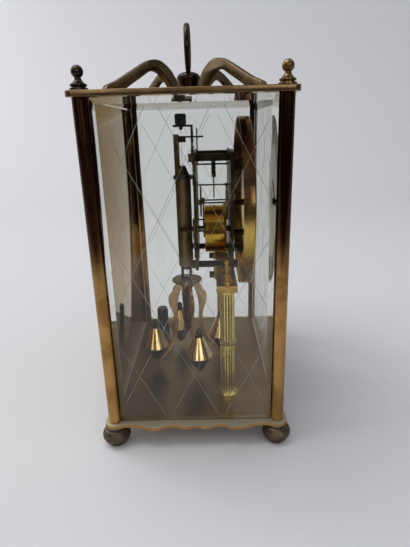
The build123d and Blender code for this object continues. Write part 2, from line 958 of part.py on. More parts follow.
def mainspring():
    """Spring with its packed outer turns against the drum and one turn free to the arbor."""
    outer = drum_radius - drum_wall - play
    inner = outer - spring_pack
    packed = Circle(outer) - Circle(inner)
    tail = barrel_arbor_radius + play + spring_strip / 2
    wide = inner + spring_strip / 2
    points = []
    for step in range(9):
        share = step / 8
        points.append(polar((0, 0), tail + (wide - tail) * (1 - share), 360 * share))
    ribbon = trace(Polyline(*points), spring_strip)
    width = drum_length - 2 * drum_wall - 2 * play
    return slab_y(packed + ribbon, drum_y - drum_wall - play, width, barrel_at)


def winding_arbor():
    """Arbor that the mainspring hooks on to, with a square for the key at the rear."""
    front = front_plate_y
    body = rod_y(barrel_arbor_radius, back_plate_y, back_plate_y - front, barrel_at)
    square = Rectangle(winding_square, winding_square)
    return body + slab_y(square, back_plate_y + winding_reach, winding_reach, barrel_at)


def ratchet_wheel():
    """Saw-toothed wheel on the winding square, outside the rear plate."""
    step = 360 / ratchet_teeth
    points = []
    for tooth in range(ratchet_teeth):
        tip = click_angle + (tooth + 0.55) * step
        points.append(polar((0, 0), ratchet_radius - ratchet_tooth, tip - 0.06 * step))
        points.append(polar((0, 0), ratchet_radius, tip))
    hole = Rectangle(winding_square + 2 * fit, winding_square + 2 * fit)
    outline = make_face(Polyline(*points, close=True)) - hole
    return slab_y(outline, ratchet_y, ratchet_thickness, barrel_at)


def click_nose():
    """Where the point of the click rests, just clear of the ratchet's teeth."""
    return polar(barrel_at, ratchet_radius + 0.12, click_angle)


def click():
    """Pawl on its stud below the ratchet, its nose just clear of the teeth."""
    nose = click_nose()
    away = heading(click_at, nose)
    reach = hypot(nose[0] - click_at[0], nose[1] - click_at[1])
    hub = 2.0
    outline = Circle(hub)
    finger = make_face(Polyline((0, hub * 0.5), (reach, 0), (reach, -0.5), (0, -hub * 0.8), close=True))
    outline += finger
    outline -= hole_section(click_stud_radius + fit)
    turned_outline = Rot(0, 0, away) * outline
    return slab_y(turned_outline, back_plate_y + click_thickness + end_shake, click_thickness, click_at)


def click_spring():
    """Bent strip with a foot on the rear plate, whose tip stands behind the click."""
    away = heading(click_at, click_nose())
    foot = (-4.6, -4.4)
    tip = (2.6, -2.1)
    outline = trace(Polyline(foot, (-2.0, -3.3), tip), 0.4) + Pos(*foot) * rod_section(1.4)
    thick = click_thickness * 0.8
    return slab_y(Rot(0, 0, away) * outline, back_plate_y + thick, thick, click_at)


# Going train


def second_arbor():
    rear = great_wheel_y + 0.4
    length = great_wheel_thickness + 0.8
    return arbor(second_at, second_leaves, great_module, second_leaf_phase, rear, length)


def third_arbor():
    rear = third_wheel_y - wheel_thickness
    length = second_wheel_y - wheel_thickness - 0.4
    return arbor(third_at, third_leaves, second_module, third_leaf_phase, rear, rear - length)


def centre_arbor():
    """Centre staff: pinion at the rear, hands at the front."""
    rear = third_wheel_y + 0.6
    length = wheel_thickness + 1.2
    reach = minute_hand_y - hand_thickness - hand_nut_length * 0.8
    staff = rod_y(arbor_radius, front_inner_y + end_shake, front_inner_y + end_shake - reach, centre_at)
    return staff + arbor(centre_at, centre_leaves, third_module, centre_leaf_phase, rear, length)


def escape_arbor():
    rear = centre_wheel_y + 0.7
    length = wheel_thickness + 1.2
    return arbor(escape_at, escape_leaves, centre_module, escape_leaf_phase, rear, length)


def escape_wheel():
    """Thin wheel with slender pointed teeth that lean the way it turns."""
    step = 360 / escape_teeth
    root = escape_radius - 1.9
    first = entry_angle() - step * 0.13
    points = []
    for tooth in range(escape_teeth):
        tip = first + tooth * step
        points.append(polar((0, 0), root, tip - step * 0.62))
        points.append(polar((0, 0), escape_radius, tip - step * 0.06))
        points.append(polar((0, 0), escape_radius, tip))
        points.append(polar((0, 0), root, tip - step * 0.12))
    outline = make_face(Polyline(*points, close=True))
    outline -= crossings(arbor_radius + 1.3, root - 0.9, 4, 45)
    outline -= rod_section(arbor_radius)
    return slab_y(outline, escape_wheel_y, wheel_thickness * 0.8, escape_at)


def entry_angle():
    """Direction from the escape arbor to the entry nib, where its line meets the tip circle square."""
    return 90 - degrees(acos(escape_radius / (anchor_at[1] - escape_at[1])))


def anchor():
    """Staff with a two-armed anchor and the pin that the fork drives."""
    rear = back_inner_y - end_shake
    front = front_inner_y + end_shake
    staff = rod_y(arbor_radius, rear, rear - front, anchor_at)
    pivot = end_shake + plate_thickness * 0.75
    staff += rod_y(pivot_radius, rear + pivot, rear - front + 2 * pivot, anchor_at)
    outline = RegularPolygon(2.0, small_sides)
    drop = escape_at[1] - anchor_at[1]
    for side, angle in ((1, entry_angle()), (-1, 180 - entry_angle())):
        tip = polar((0, drop), escape_radius + anchor_clearance, angle)
        heel = polar((0, drop), escape_radius + 2.4, angle)
        nib = Rectangle(2.4 - anchor_clearance, anchor_nib)
        outline += Pos((tip[0] + heel[0]) / 2, (tip[1] + heel[1]) / 2) * Rot(0, 0, angle) * nib
        knee = polar((0, drop), escape_radius + 2.0, angle)
        limb = hypot(knee[0], knee[1])
        bar = Pos(limb / 2, 0) * Rectangle(limb + 0.6, 1.5)
        outline += Rot(0, 0, heading((0, 0), knee)) * bar
    middle = escape_wheel_y - wheel_thickness * 0.4
    body = slab_y(outline, middle + anchor_thickness / 2, anchor_thickness, anchor_at)
    pin_top = fork_z + pin_over
    return staff + body + rod_z(pin_radius, anchor_at[1], pin_top - anchor_at[1], (0, pin_y()))


def pin_y():
    return back_inner_y - play - pin_radius


# Motion work, dial and hands


def motion_module(wheel, pinion):
    return 2 * motion_distance / (wheel + pinion)


def motion_teeth(teeth, module, phase):
    return toothed(teeth, module * teeth / 2, module, tooth_share * 0.85, 0.8, 1.3, phase)


def cannon_pinion():
    """Tube on the centre staff, toothed at its rear end, that carries the minute hand."""
    module = motion_module(minute_teeth, cannon_teeth)
    outline = motion_teeth(cannon_teeth, module, motion_phase)
    body = slab_y(outline, motion_y, motion_thickness, centre_at)
    body += rod_y(cannon_radius, motion_y, motion_y - minute_hand_y, centre_at)
    return body - rod_y(arbor_radius, motion_y, motion_y - minute_hand_y, centre_at)


def minute_wheel():
    """Wheel and pinion in one, on the stud above the centre."""
    module = motion_module(minute_teeth, cannon_teeth)
    phase = motion_phase + 180 + 180 / minute_teeth
    body = slab_y(motion_teeth(minute_teeth, module, phase), motion_y, motion_thickness, minute_at)
    fine = motion_module(hour_teeth, minute_leaves)
    leaves = leaf_outline(minute_leaves, fine, motion_phase + 180 + 180 / minute_leaves)
    length = motion_y - motion_thickness - (hour_wheel_y - motion_thickness)
    body += slab_y(leaves, motion_y - motion_thickness, length, minute_at)
    return bored_y(body, pivot_radius * 2 + fit, minute_at)


def hour_wheel():
    """Wheel on a pipe that runs on the cannon pinion and carries the hour hand."""
    module = motion_module(hour_teeth, minute_leaves)
    body = slab_y(wheel_outline(hour_teeth, module, motion_phase), hour_wheel_y, motion_thickness, centre_at)
    body += rod_y(hour_pipe_radius, hour_wheel_y, hour_wheel_y - hour_hand_y, centre_at)
    return bored_y(body, cannon_radius + fit, centre_at)


def dial_foot_places():
    return [(sx * dial_foot_x, centre_at[1] + sz * dial_foot_z) for sx in (-1, 1) for sz in (-1, 1)]


def dial_pan():
    """Shallow drum, closed by the dial at the front and open at the rear."""
    inner = dial_radius - dial_wall
    pan = rod_y(dial_radius, dial_back_y, dial_depth, centre_at)
    pan -= rod_y(inner, dial_back_y, dial_depth - dial_face, centre_at)
    rim = pipe_y(dial_radius, dial_radius - dial_rim, dial_front_y, dial_rim_height, centre_at)
    ring = pipe_y(dial_ring_outer, dial_ring_inner, dial_front_y, dial_ring_height, centre_at)
    return bored_y(pan + rim + ring, hour_pipe_radius + play, centre_at)


def dial_foot(at):
    """Foot between the dial and the front plate, with a shank through the plate."""
    face = dial_front_y + dial_face
    foot = rod_y(dial_foot_radius, front_plate_y, front_plate_y - face, at)
    return foot + rod_y(dial_foot_radius * 0.5, front_inner_y, plate_thickness, at)


def hand(length, tail, width, hub, bore, rear, angle):
    """Tapered hand with a leaf-shaped swelling, pointing at an angle from twelve."""
    outline = make_face(
        Polyline(
            (-width * 0.3, -tail),
            (width * 0.3, -tail),
            (width * 0.35, length * 0.5),
            (width * 0.9, length * 0.66),
            (width * 0.25, length * 0.84),
            (0, length),
            (-width * 0.25, length * 0.84),
            (-width * 0.9, length * 0.66),
            (-width * 0.35, length * 0.5),
            close=True,
        )
    )
    outline = outline + Circle(hub) - hole_section(bore)
    return slab_y(Rot(0, 0, -angle) * outline, rear, hand_thickness, centre_at)


def hour_hand():
    angle = 30 * (shown_hour + shown_minute / 60)
    bore = cannon_radius + fit
    size = (hour_hand_length, hour_hand_tail, hour_hand_width, hour_hand_hub)
    return hand(*size, bore, hour_hand_y, angle)


def minute_hand():
    bore = arbor_radius + fit
    size = (minute_hand_length, minute_hand_tail, minute_hand_width, minute_hand_hub)
    return hand(*size, bore, minute_hand_y, 6 * shown_minute)


def hand_nut():
    rear = minute_hand_y - hand_thickness
    front = rear - hand_nut_length
    nut = turned_y(
        [(0, rear), (hand_nut_radius, rear), (hand_nut_radius * 0.7, front), (0, front)],
        centre_at,
    )
    bore = extrude(
        across_y(centre_at, rear) * hole_section(arbor_radius + fit), amount=hand_nut_length * 0.85
    )
    return nut - bore


# Suspension


def suspension_bracket():
    """Angle bracket from the rear plate, with a window for the fork and a hole for the spring."""
    foot_low = plate_top - bracket_foot
    web = Pos(0, (foot_low + knob_z) / 2) * Rectangle(bracket_width, knob_z - foot_low)
    web -= Pos(0, fork_z) * Rectangle(bracket_window, bracket_window_height)
    web -= Pos(0, plate_top - bracket_foot / 2) * hole_section(knob_stem_radius)
    upright = slab_y(web, back_plate_y + bracket_thickness, bracket_thickness)
    depth = axis_y + bracket_reach - back_plate_y
    shelf = Pos(0, back_plate_y + depth / 2, shelf_z + bracket_thickness / 2)
    upright += shelf * Box(bracket_width, depth, bracket_thickness)
    return upright - hole_z(knob_stem_radius + 2 * fit, shelf_z, bracket_thickness, (0, axis_y))


def suspension_knob():
    """Knurled clamp on the bracket, with the stem that grips the top of the spring."""
    step = 360 / knob_ridges
    points = []
    for ridge in range(knob_ridges):
        points.append(polar((0, 0), knob_radius, ridge * step))
        points.append(polar((0, 0), knob_radius - knob_ridge, (ridge + 0.5) * step))
    knob = Pos(0, axis_y, knob_z) * extrude(make_face(Polyline(*points, close=True)), amount=knob_height)
    return knob + rod_z(knob_stem_radius, ribbon_top, knob_z - ribbon_top, (0, axis_y))


def suspension_spring():
    """Thin flat ribbon that the pendulum hangs and twists on."""
    ribbon = Rectangle(ribbon_width, ribbon_thickness)
    return Pos(0, axis_y, ribbon_bottom) * extrude(ribbon, amount=ribbon_top - ribbon_bottom)


def fork():
    """Block on the ribbon with two tines that reach forward round the anchor's pin."""
    gap = 2 * pin_radius + 2 * fit + fork_gap
    width = gap + 2 * fork_tine
    tip = fork_reach
    bevel = 2.0
    tines = make_face(
        Polyline(
            (-width / 2, -tip + bevel),
            (-gap / 2, -tip),
            (-gap / 2, -bevel),
            (gap / 2, -bevel),
            (gap / 2, -tip),
            (width / 2, -tip + bevel),
            (width / 2, 0),
            (-width / 2, 0),
            close=True,
        )
    )
    plate = Pos(0, axis_y, fork_z - fork_thickness / 2) * extrude(tines, amount=fork_thickness)
    low = fork_z - fork_thickness / 2 - fork_block_height
    high = fork_z + fork_thickness / 2
    block = Rectangle(fork_block_width, fork_block)
    plate += Pos(0, axis_y, low) * extrude(block, amount=high - low)
    return plate - hole_z(ribbon_width / 2 + play - fit, low, high - low, (0, axis_y))


def guard_tube():
    """Tube round the spring, open above except for a shell at the rear."""
    full = guard_top_z - guard_z
    ring = Circle(guard_radius) - Circle(guard_radius - guard_wall)
    tube = Pos(0, axis_y, guard_z) * extrude(ring, amount=full)
    shell = ring & (Pos(0, guard_radius) * Rectangle(2 * guard_radius, 1.3 * guard_radius))
    shell_height = shelf_z - shell_gap - guard_top_z
    return tube + Pos(0, axis_y, guard_top_z) * extrude(shell, amount=shell_height)


def guard_collar():
    """Flange that grips the guard and is screwed to the rear plate."""
    low = guard_top_z - guard_flange_thickness
    reach = axis_y - back_plate_y
    outline = Circle(guard_radius + 1.2) + Pos(0, -reach / 2) * Rectangle(guard_flange_width, reach)
    outline -= Circle(guard_radius)
    flange = Pos(0, axis_y, low) * extrude(outline, amount=guard_flange_thickness)
    foot = Box(guard_flange_width, bracket_thickness, guard_foot_height)
    return flange + Pos(0, back_plate_y + bracket_thickness / 2, guard_top_z - guard_foot_height / 2) * foot


def guard_cone():
    """Funnel in the top of the guard that keeps the ribbon central."""
    wide = guard_radius - guard_wall - fit
    low = guard_top_z - guard_foot_height / 2
    high = guard_top_z + guard_cone_height
    profile = [
        (guard_bore, low),
        (wide, low),
        (wide, guard_top_z),
        (guard_bore + 0.7, high),
        (guard_bore, high),
    ]
    return turned(profile, (0, axis_y, 0))


# Torsion pendulum


def pendulum_hook():
    """Lower clamp of the ribbon and the stirrup that the pendulum hangs by."""
    wire = 2 * hook_wire
    clamp = rod_z(hook_clamp_radius, stirrup_z, ribbon_bottom - stirrup_z)
    height = stirrup_z - disc_z
    for sign in (-1, 1):
        clamp += Pos(0, sign * hook_leg, disc_z + height / 2) * Box(wire, wire, height)
    clamp += Pos(0, 0, stirrup_z - hook_wire) * Box(wire, 2 * hook_leg + wire, wire)
    return Pos(0, axis_y, 0) * clamp


def regulating_disc():
    """Disc under the stirrup, with an opening for its two legs."""
    profile = [
        (0, disc_z),
        (disc_radius - 1.2, disc_z),
        (disc_radius, disc_z + 0.5),
        (disc_radius, disc_z + disc_thickness),
        (0, disc_z + disc_thickness),
    ]
    opening = hypot(hook_leg + hook_wire, hook_wire) + play
    return turned(profile, (0, axis_y, 0)) - hole_z(opening, disc_z, disc_thickness, (0, axis_y))


def pendulum_tube():
    """Central tube, closed by a collar under the disc and a plug at the foot."""
    low = floor_z + tube_bottom
    tube = rod_z(tube_radius, low, disc_z - low, (0, axis_y))
    return tube + rod_z(hub_collar(), disc_z - collar_height, collar_height, (0, axis_y))


def hub_collar():
    return tube_radius + collar_step


def pendulum_arm():
    """Sheet arm in the XZ plane: a curl, a leaf and a waist, then out to the weight's pad."""
    inner = hub_collar()
    high = disc_height - 0.6
    reach = weight_reach
    pad_low = weight_mid - weight_drop - arm_pad
    pad_high = pad_low + arm_pad
    end = reach - arm_pad_radius
    up = (0, 1)
    down = (0, -1)
    notch = (inner + 6.0, high - 6.4)
    leaf = (inner + 8.8, high - 11.2)
    waist = (inner + 5.4, high - 27.0)
    knee = (inner + 6.4, high - 36.5)
    shin = TangentArc(waist, knee, tangent=down)
    curl = ThreePointArc((inner, high), (inner + 4.2, high - 2.2), notch)
    edges = [curl, TangentArc(leaf, notch, tangent=up)]
    edges += s_curve(leaf, waist, down) + [shin, TangentArc(knee, (end, pad_high), tangent=shin % 1)]
    inner_high = (inner, high - 4.5)
    inner_leaf = (inner + 3.2, high - 20.0)
    inner_waist = (inner + 2.8, high - 29.0)
    inner_knee = (inner + 4.0, high - 38.0)
    inner_shin = TangentArc(inner_waist, inner_knee, tangent=down)
    edges += [TangentArc(inner_leaf, inner_high, tangent=up)] + s_curve(inner_leaf, inner_waist, down)
    edges += [inner_shin, TangentArc(inner_knee, (end, pad_low), tangent=inner_shin % 1)]
    edges += [Line((end, pad_high), (end, pad_low)), Line(inner_high, (inner, high))]
    outline = make_face(Curve() + edges)
    arm = extrude(Plane.XZ * outline, amount=arm_sheet / 2, both=True)
    tab_height = 2.4
    arm += Pos(inner, 0, high - tab_height / 2) * Box(2 * arm_sheet, arm_sheet, tab_height)
    arm -= rod_z(inner, 0, disc_height)
    arm += rod_z(arm_pad_radius + 0.4, pad_low, arm_pad, (reach, 0))
    arm -= hole_z(weight_stud_radius + fit, pad_low, arm_pad, (reach, 0))
    return Pos(0, 0, floor_z) * arm


def round_pendulum(part):
    """The same piece four times round the pendulum's axis."""
    return group(
        [
            Pos(0, axis_y, 0) * Rot(0, 0, arm_turn + turn * 360 / arm_count) * part
            for turn in range(arm_count)
        ]
    )


def pendulum_weight():
    """Double cone on a stud through the arm's pad, with a nut below and a turned finial."""
    mid = floor_z + weight_mid
    low = mid - weight_drop
    high = mid + weight_rise
    nut = low - arm_pad
    neck = weight_neck
    profile = [
        (0, nut - weight_nut_height),
        (weight_nut_radius, nut - weight_nut_height),
        (weight_nut_radius, nut),
        (weight_stud_radius, nut),
        (weight_stud_radius, low),
        (weight_foot_radius, low),
        (weight_radius, mid),
        (neck, high),
        (neck, high + 0.7),
        (neck * 0.6, high + 1.4),
        (neck * 0.75, high + weight_finial * 0.6),
        (neck * 0.3, high + weight_finial),
        (0, high + weight_finial),
    ]
    return turned(profile, (weight_reach, 0, 0))


pieces = {
    "base_plate": base_plate(),
    "bun_feet": on_corners(bun_foot()),
    "corner_posts": group([corner_post(corner) for corner in corners]),
    "corner_finials": on_corners(corner_finial()),
    "top_plate": top_plate(),
    "scroll_arms": scroll_arms(),
    "hub_cap": hub_cap(),
    "handle_ring": ring_solid(),
    "glass_front": standing_pane((0, -1), post_spacing_x, (0, -half_y)),
    "glass_left": standing_pane((-1, 0), post_spacing_y, (-half_x, 0)),
    "glass_right": standing_pane((1, 0), post_spacing_y, (half_x, 0)),
    "rear_door": rear_door(),
    "columns": on_columns(column_shaft()),
    "column_nuts": on_columns(column_nut()),
    "bridge": bridge(),
    "movement_saddles": group([saddle(side) for side in (-1, 1)]),
    "saddle_screws": group([saddle_screw(side) for side in (-1, 1)]),
    "stop_post": stop_post(),
    "back_plate": back_plate(),
    "front_plate": front_plate(),
    "movement_pillars": group([pillar(at) for at in pillar_places()]),
    "pillar_nuts": pillar_nuts(),
    "great_wheel": great_wheel(),
    "barrel_drum": barrel_drum(),
    "barrel_cap": barrel_cap(),
    "mainspring": mainspring(),
    "winding_arbor": winding_arbor(),
    "ratchet_wheel": ratchet_wheel(),
    "click": click(),
    "click_spring": click_spring(),
    "second_arbor": second_arbor(),
    "second_wheel": crossed_wheel(
        second_teeth, second_module, second_phase, second_wheel_y, second_at, arbor_radius
    ),
    "third_arbor": third_arbor(),
    "third_wheel": crossed_wheel(
        third_teeth, third_module, third_phase, third_wheel_y, third_at, arbor_radius
    ),
    "centre_arbor": centre_arbor(),
    "centre_wheel": crossed_wheel(
        centre_teeth, centre_module, centre_phase, centre_wheel_y, centre_at, arbor_radius
    ),
    "escape_arbor": escape_arbor(),
    "escape_wheel": escape_wheel(),
    "anchor": anchor(),
    "cannon_pinion": cannon_pinion(),
    "minute_wheel": minute_wheel(),
    "hour_wheel": hour_wheel(),
    "dial_pan": dial_pan(),
    "dial_feet": group([dial_foot(at) for at in dial_foot_places()]),
    "hour_hand": hour_hand(),
    "minute_hand": minute_hand(),
    "hand_nut": hand_nut(),
    "suspension_bracket": suspension_bracket(),
    "suspension_knob": suspension_knob(),
    "suspension_spring": suspension_spring(),
    "fork": fork(),
    "guard_tube": guard_tube(),
    "guard_collar": guard_collar(),
    "guard_cone": guard_cone(),
    "pendulum_hook": pendulum_hook(),
    "regulating_disc": regulating_disc(),
    "pendulum_tube": pendulum_tube(),
    "pendulum_arms": round_pendulum(pendulum_arm()),
    "pendulum_weights": round_pendulum(pendulum_weight()),
}

os.makedirs("parts", exist_ok=True)
for name, piece in pieces.items():
    export_step(piece, f"parts/{name}.step")
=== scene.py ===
import bmesh
import bpy
import json
import numpy as np
from math import atan2, cos, degrees, pi, radians, sin
from mathutils import Matrix, Vector


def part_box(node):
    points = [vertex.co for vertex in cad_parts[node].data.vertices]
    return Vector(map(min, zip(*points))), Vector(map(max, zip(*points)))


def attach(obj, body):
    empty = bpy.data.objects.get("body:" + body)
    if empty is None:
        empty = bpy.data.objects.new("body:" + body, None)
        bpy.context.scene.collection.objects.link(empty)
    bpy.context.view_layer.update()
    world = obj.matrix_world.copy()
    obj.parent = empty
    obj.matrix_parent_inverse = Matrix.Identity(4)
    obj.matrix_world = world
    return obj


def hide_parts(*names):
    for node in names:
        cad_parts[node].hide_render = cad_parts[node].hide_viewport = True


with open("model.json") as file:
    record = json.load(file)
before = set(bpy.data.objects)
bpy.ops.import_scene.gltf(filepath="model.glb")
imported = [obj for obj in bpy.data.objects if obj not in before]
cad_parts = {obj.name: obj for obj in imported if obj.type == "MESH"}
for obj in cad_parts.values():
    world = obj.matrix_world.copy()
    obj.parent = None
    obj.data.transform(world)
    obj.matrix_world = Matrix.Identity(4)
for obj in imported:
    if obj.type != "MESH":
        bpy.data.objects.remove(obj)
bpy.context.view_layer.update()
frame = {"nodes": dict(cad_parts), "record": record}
mm = 0.001
turn = 2 * pi

bodyOf = {node: body for body, nodes in frame["record"]["behaviour"]["bodies"].items() for node in nodes}


def boxMm(node):
    # lowest and highest corner of a CAD node, in millimetres
    low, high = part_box(node)
    return np.array(low) / mm, np.array(high) / mm


# Driving levels and places, from the frame

floorLevel = boxMm("base_plate")[1][2]
ceilingLevel, roofLevel = (corner[2] for corner in boxMm("top_plate"))
footLow, footHigh = boxMm("bun_feet")
footRadius = 7.85
halfX = footHigh[0] - footRadius
halfY = footHigh[1] - footRadius
corners = [(sx * halfX, sy * halfY) for sx in (1, -1) for sy in (1, -1)]
leftFace = boxMm("glass_left")[1][0]  # the panes' inner faces
rightFace = boxMm("glass_right")[0][0]
frontFace = boxMm("glass_front")[1][1]

# Surfaces: every shape below is a grid of points or a closed outline, in millimetres


def gridFaces(rows, columns, wrapRows=False, wrapColumns=True):
    # quads between the neighbours of a grid whose rows or columns may close on themselves
    u = np.arange(rows if wrapRows else rows - 1)
    v = np.arange(columns if wrapColumns else columns - 1)
    U, V = np.meshgrid(u, v, indexing="ij")
    nextU = (U + 1) % rows
    nextV = (V + 1) % columns
    quads = [U * columns + V, nextU * columns + V, nextU * columns + nextV, U * columns + nextV]
    return np.stack(quads, -1).reshape(-1, 4)


def eased(profile, radius=0.18, steps=3):
    # each inner corner becomes a short quadratic curve: (1-t)^2 A + 2t(1-t) B + t^2 C
    p = np.array(profile, float)
    before, corner, after = p[:-2], p[1:-1], p[2:]
    toBefore = before - corner
    toAfter = after - corner
    lengthBefore = np.linalg.norm(toBefore, axis=1, keepdims=True)
    lengthAfter = np.linalg.norm(toAfter, axis=1, keepdims=True)
    a = corner + toBefore * np.minimum(radius / lengthBefore, 0.45)
    c = corner + toAfter * np.minimum(radius / lengthAfter, 0.45)
    t = np.linspace(0, 1, steps + 1)[None, :, None]
    curve = (1 - t) ** 2 * a[:, None] + 2 * t * (1 - t) * corner[:, None] + t**2 * c[:, None]
    return np.vstack([p[:1], curve.reshape(-1, 2), p[-1:]])


def arcPoints(centre, radius, start, end, steps):
    # points of a circle between two angles in degrees
    a = np.radians(np.linspace(start, end, steps))
    return np.stack([centre[0] + radius * np.cos(a), centre[1] + radius * np.sin(a)], -1)


def smoothLine(points, steps):
    # Catmull-Rom curve through the points, each span worked out for all t at once
    p = np.array(points, float)
    p = np.vstack([2 * p[0] - p[1], p, 2 * p[-1] - p[-2]])
    t = np.linspace(0, 1, steps, endpoint=False)[None, :, None]
    a, b, c, d = (q[:, None] for q in (p[:-3], p[1:-2], p[2:-1], p[3:]))
    curve = 0.5 * (
        2 * b + (c - a) * t + (2 * a - 5 * b + 4 * c - d) * t**2 + (3 * b - a - 3 * c + d) * t**3
    )
    return np.vstack([curve.reshape(-1, p.shape[1]), p[-2:-1]])


def lathe(profile, centre=(0, 0, 0), axis="Z", steps=72, wave=None):
    # the profile (radius, height) turned about an axis: radius cos a, radius sin a, height
    # wave(height, a) is added to the radius, away from the axis
    p = np.array(profile, float)
    angle = np.linspace(0, turn, steps, endpoint=False)
    radius = np.repeat(p[:, 0][:, None], steps, 1)
    height = np.repeat(p[:, 1][:, None], steps, 1)
    if wave is not None:
        radius = radius + wave(height, angle[None, :]) * (radius > 0)
    across = radius * np.cos(angle)
    along = radius * np.sin(angle)
    if axis == "Z":
        points = np.stack([across, along, height], -1)
    else:
        points = np.stack([across, height, -along], -1)
    return points.reshape(-1, 3) + np.array(centre), gridFaces(len(p), steps)


def slab(outline, low, high, ease, toWorld=None, steps=3):
    # a closed outline between two levels; its edges are rounded by rings that step in along the
    # normal by ease (1 - sin a) while they rise by ease (1 - cos a)
    o = np.array(outline, float)
    step = np.roll(o, -1, 0) - np.roll(o, 1, 0)
    normal = np.stack([step[:, 1], -step[:, 0]], -1)
    normal /= np.linalg.norm(normal, axis=1, keepdims=True) + 1e-12
    area = np.sum(o[:, 0] * np.roll(o[:, 1], -1) - np.roll(o[:, 0], -1) * o[:, 1])
    normal *= np.sign(area)
    bend = np.linspace(0, pi / 2, steps + 1)
    inset = np.concatenate([ease * (1 - np.sin(bend)), ease * (1 - np.cos(bend))])
    level = np.concatenate([low + ease * (1 - np.cos(bend)), high - ease * (1 - np.sin(bend))])
    flat = o[None] - normal[None] * inset[:, None, None]
    points = np.concatenate([flat, np.broadcast_to(level[:, None, None], flat.shape[:2] + (1,))], -1)
    rows, columns = flat.shape[:2]
    faces = [list(f) for f in gridFaces(rows, columns)]
    faces.append(list(range(columns))[::-1])
    faces.append([(rows - 1) * columns + i for i in range(columns)])
    points = points.reshape(-1, 3)
    if toWorld is not None:
        points = points @ np.array(toWorld[0], float) + np.array(toWorld[1], float)
    return points, faces


def wireLoop(path, radius, steps=20):
    # a circle carried round a closed path near the XZ plane: point + radius (cos a side + sin a up)
    p = np.array(path, float)
    ahead = np.roll(p, -1, 0) - np.roll(p, 1, 0)
    ahead /= np.linalg.norm(ahead, axis=1, keepdims=True)
    side = np.cross(ahead, [0.0, 1.0, 0.02])
    side /= np.linalg.norm(side, axis=1, keepdims=True)
    up = np.cross(side, ahead)
    angle = np.linspace(0, turn, steps, endpoint=False)[None, :, None]
    width = np.array(radius, float)[:, None, None]
    points = p[:, None] + width * (np.cos(angle) * side[:, None] + np.sin(angle) * up[:, None])
    return points.reshape(-1, 3), gridFaces(len(p), steps, wrapRows=True)


def moved(shape, offset, turned=0.0, about=(0.0, 0.0)):
    # the same shape turned about a vertical line, by x cos a - y sin a, x sin a + y cos a, and shifted
    points, faces = shape
    c, s = cos(turned), sin(turned)
    away = points - [about[0], about[1], 0]
    spun = np.stack([c * away[:, 0] - s * away[:, 1], s * away[:, 0] + c * away[:, 1], away[:, 2]], -1)
    return spun + [about[0], about[1], 0] + np.array(offset, float), faces


def finishMesh(mesh, sharp, merge=1e-7, dissolve=0.0):
    # closes poles and seams, points the faces outwards and keeps only real corners sharp
    work = bmesh.new()
    work.from_mesh(mesh)
    bmesh.ops.remove_doubles(work, verts=work.verts, dist=merge)
    if dissolve:
        bmesh.ops.dissolve_limit(work, angle_limit=radians(dissolve), verts=work.verts, edges=work.edges)
    bmesh.ops.recalc_face_normals(work, faces=work.faces)
    work.to_mesh(mesh)
    work.free()
    mesh.polygons.foreach_set("use_smooth", np.ones(len(mesh.polygons), bool))
    mesh.set_sharp_from_angle(angle=radians(sharp))
    mesh.update()


def seatPiece(name, mesh, node, stands=True):
    # the object that holds a mesh: it rides with its CAD node and, where it stands for it, replaces it
    piece = bpy.data.objects.new(name, mesh)
    bpy.context.scene.collection.objects.link(piece)
    if stands:
        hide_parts(node)
    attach(piece, bodyOf[node])
    return piece


def makePiece(name, shapes, finish, node, stands=True, sharp=38, under=None, groove=None):
    # one object from one or more shapes; groove is a value from 0 to 1 for each point, for painted shade
    # in the hollows
    points = np.vstack([shape[0] for shape in shapes])
    faces = []
    start = 0
    for shapePoints, shapeFaces in shapes:
        faces += [[int(i) + start for i in face] for face in shapeFaces]
        start += len(shapePoints)
    mesh = bpy.data.meshes.new(name)
    mesh.from_pydata((points * mm).tolist(), [], faces)
    if groove is not None:
        mesh.attributes.new("groove", "FLOAT", "POINT").data.foreach_set("value", groove)
    finishMesh(mesh, sharp)
    mesh.materials.append(finish)
    if under:
        # the faces that look down take a second finish
        mesh.materials.append(under)
        normals = np.empty(3 * len(mesh.polygons))
        mesh.polygons.foreach_get("normal", normals)
        mesh.polygons.foreach_set("material_index", (normals[2::3] < -0.9).astype(int))
    return seatPiece(name, mesh, node, stands)


def dress(node, finish, ease=0.0, sharp=34):
    # a welded copy of a CAD node with smooth curves and, where asked, broken edges
    mesh = frame["nodes"][node].data.copy()
    mesh.name = node + "Skin"
    finishMesh(mesh, sharp, merge=2e-6, dissolve=0.6 if ease else 0.0)
    mesh.materials.clear()
    mesh.materials.append(finish)
    piece = seatPiece(node + "Skin", mesh, node)
    if ease:
        bevel = piece.modifiers.new("brokenEdge", "BEVEL")
        bevel.width = ease * mm
        bevel.segments = 2
        bevel.limit_method = "ANGLE"
        bevel.angle_limit = radians(sharp)
        bevel.use_clamp_overlap = True


# Shader maths


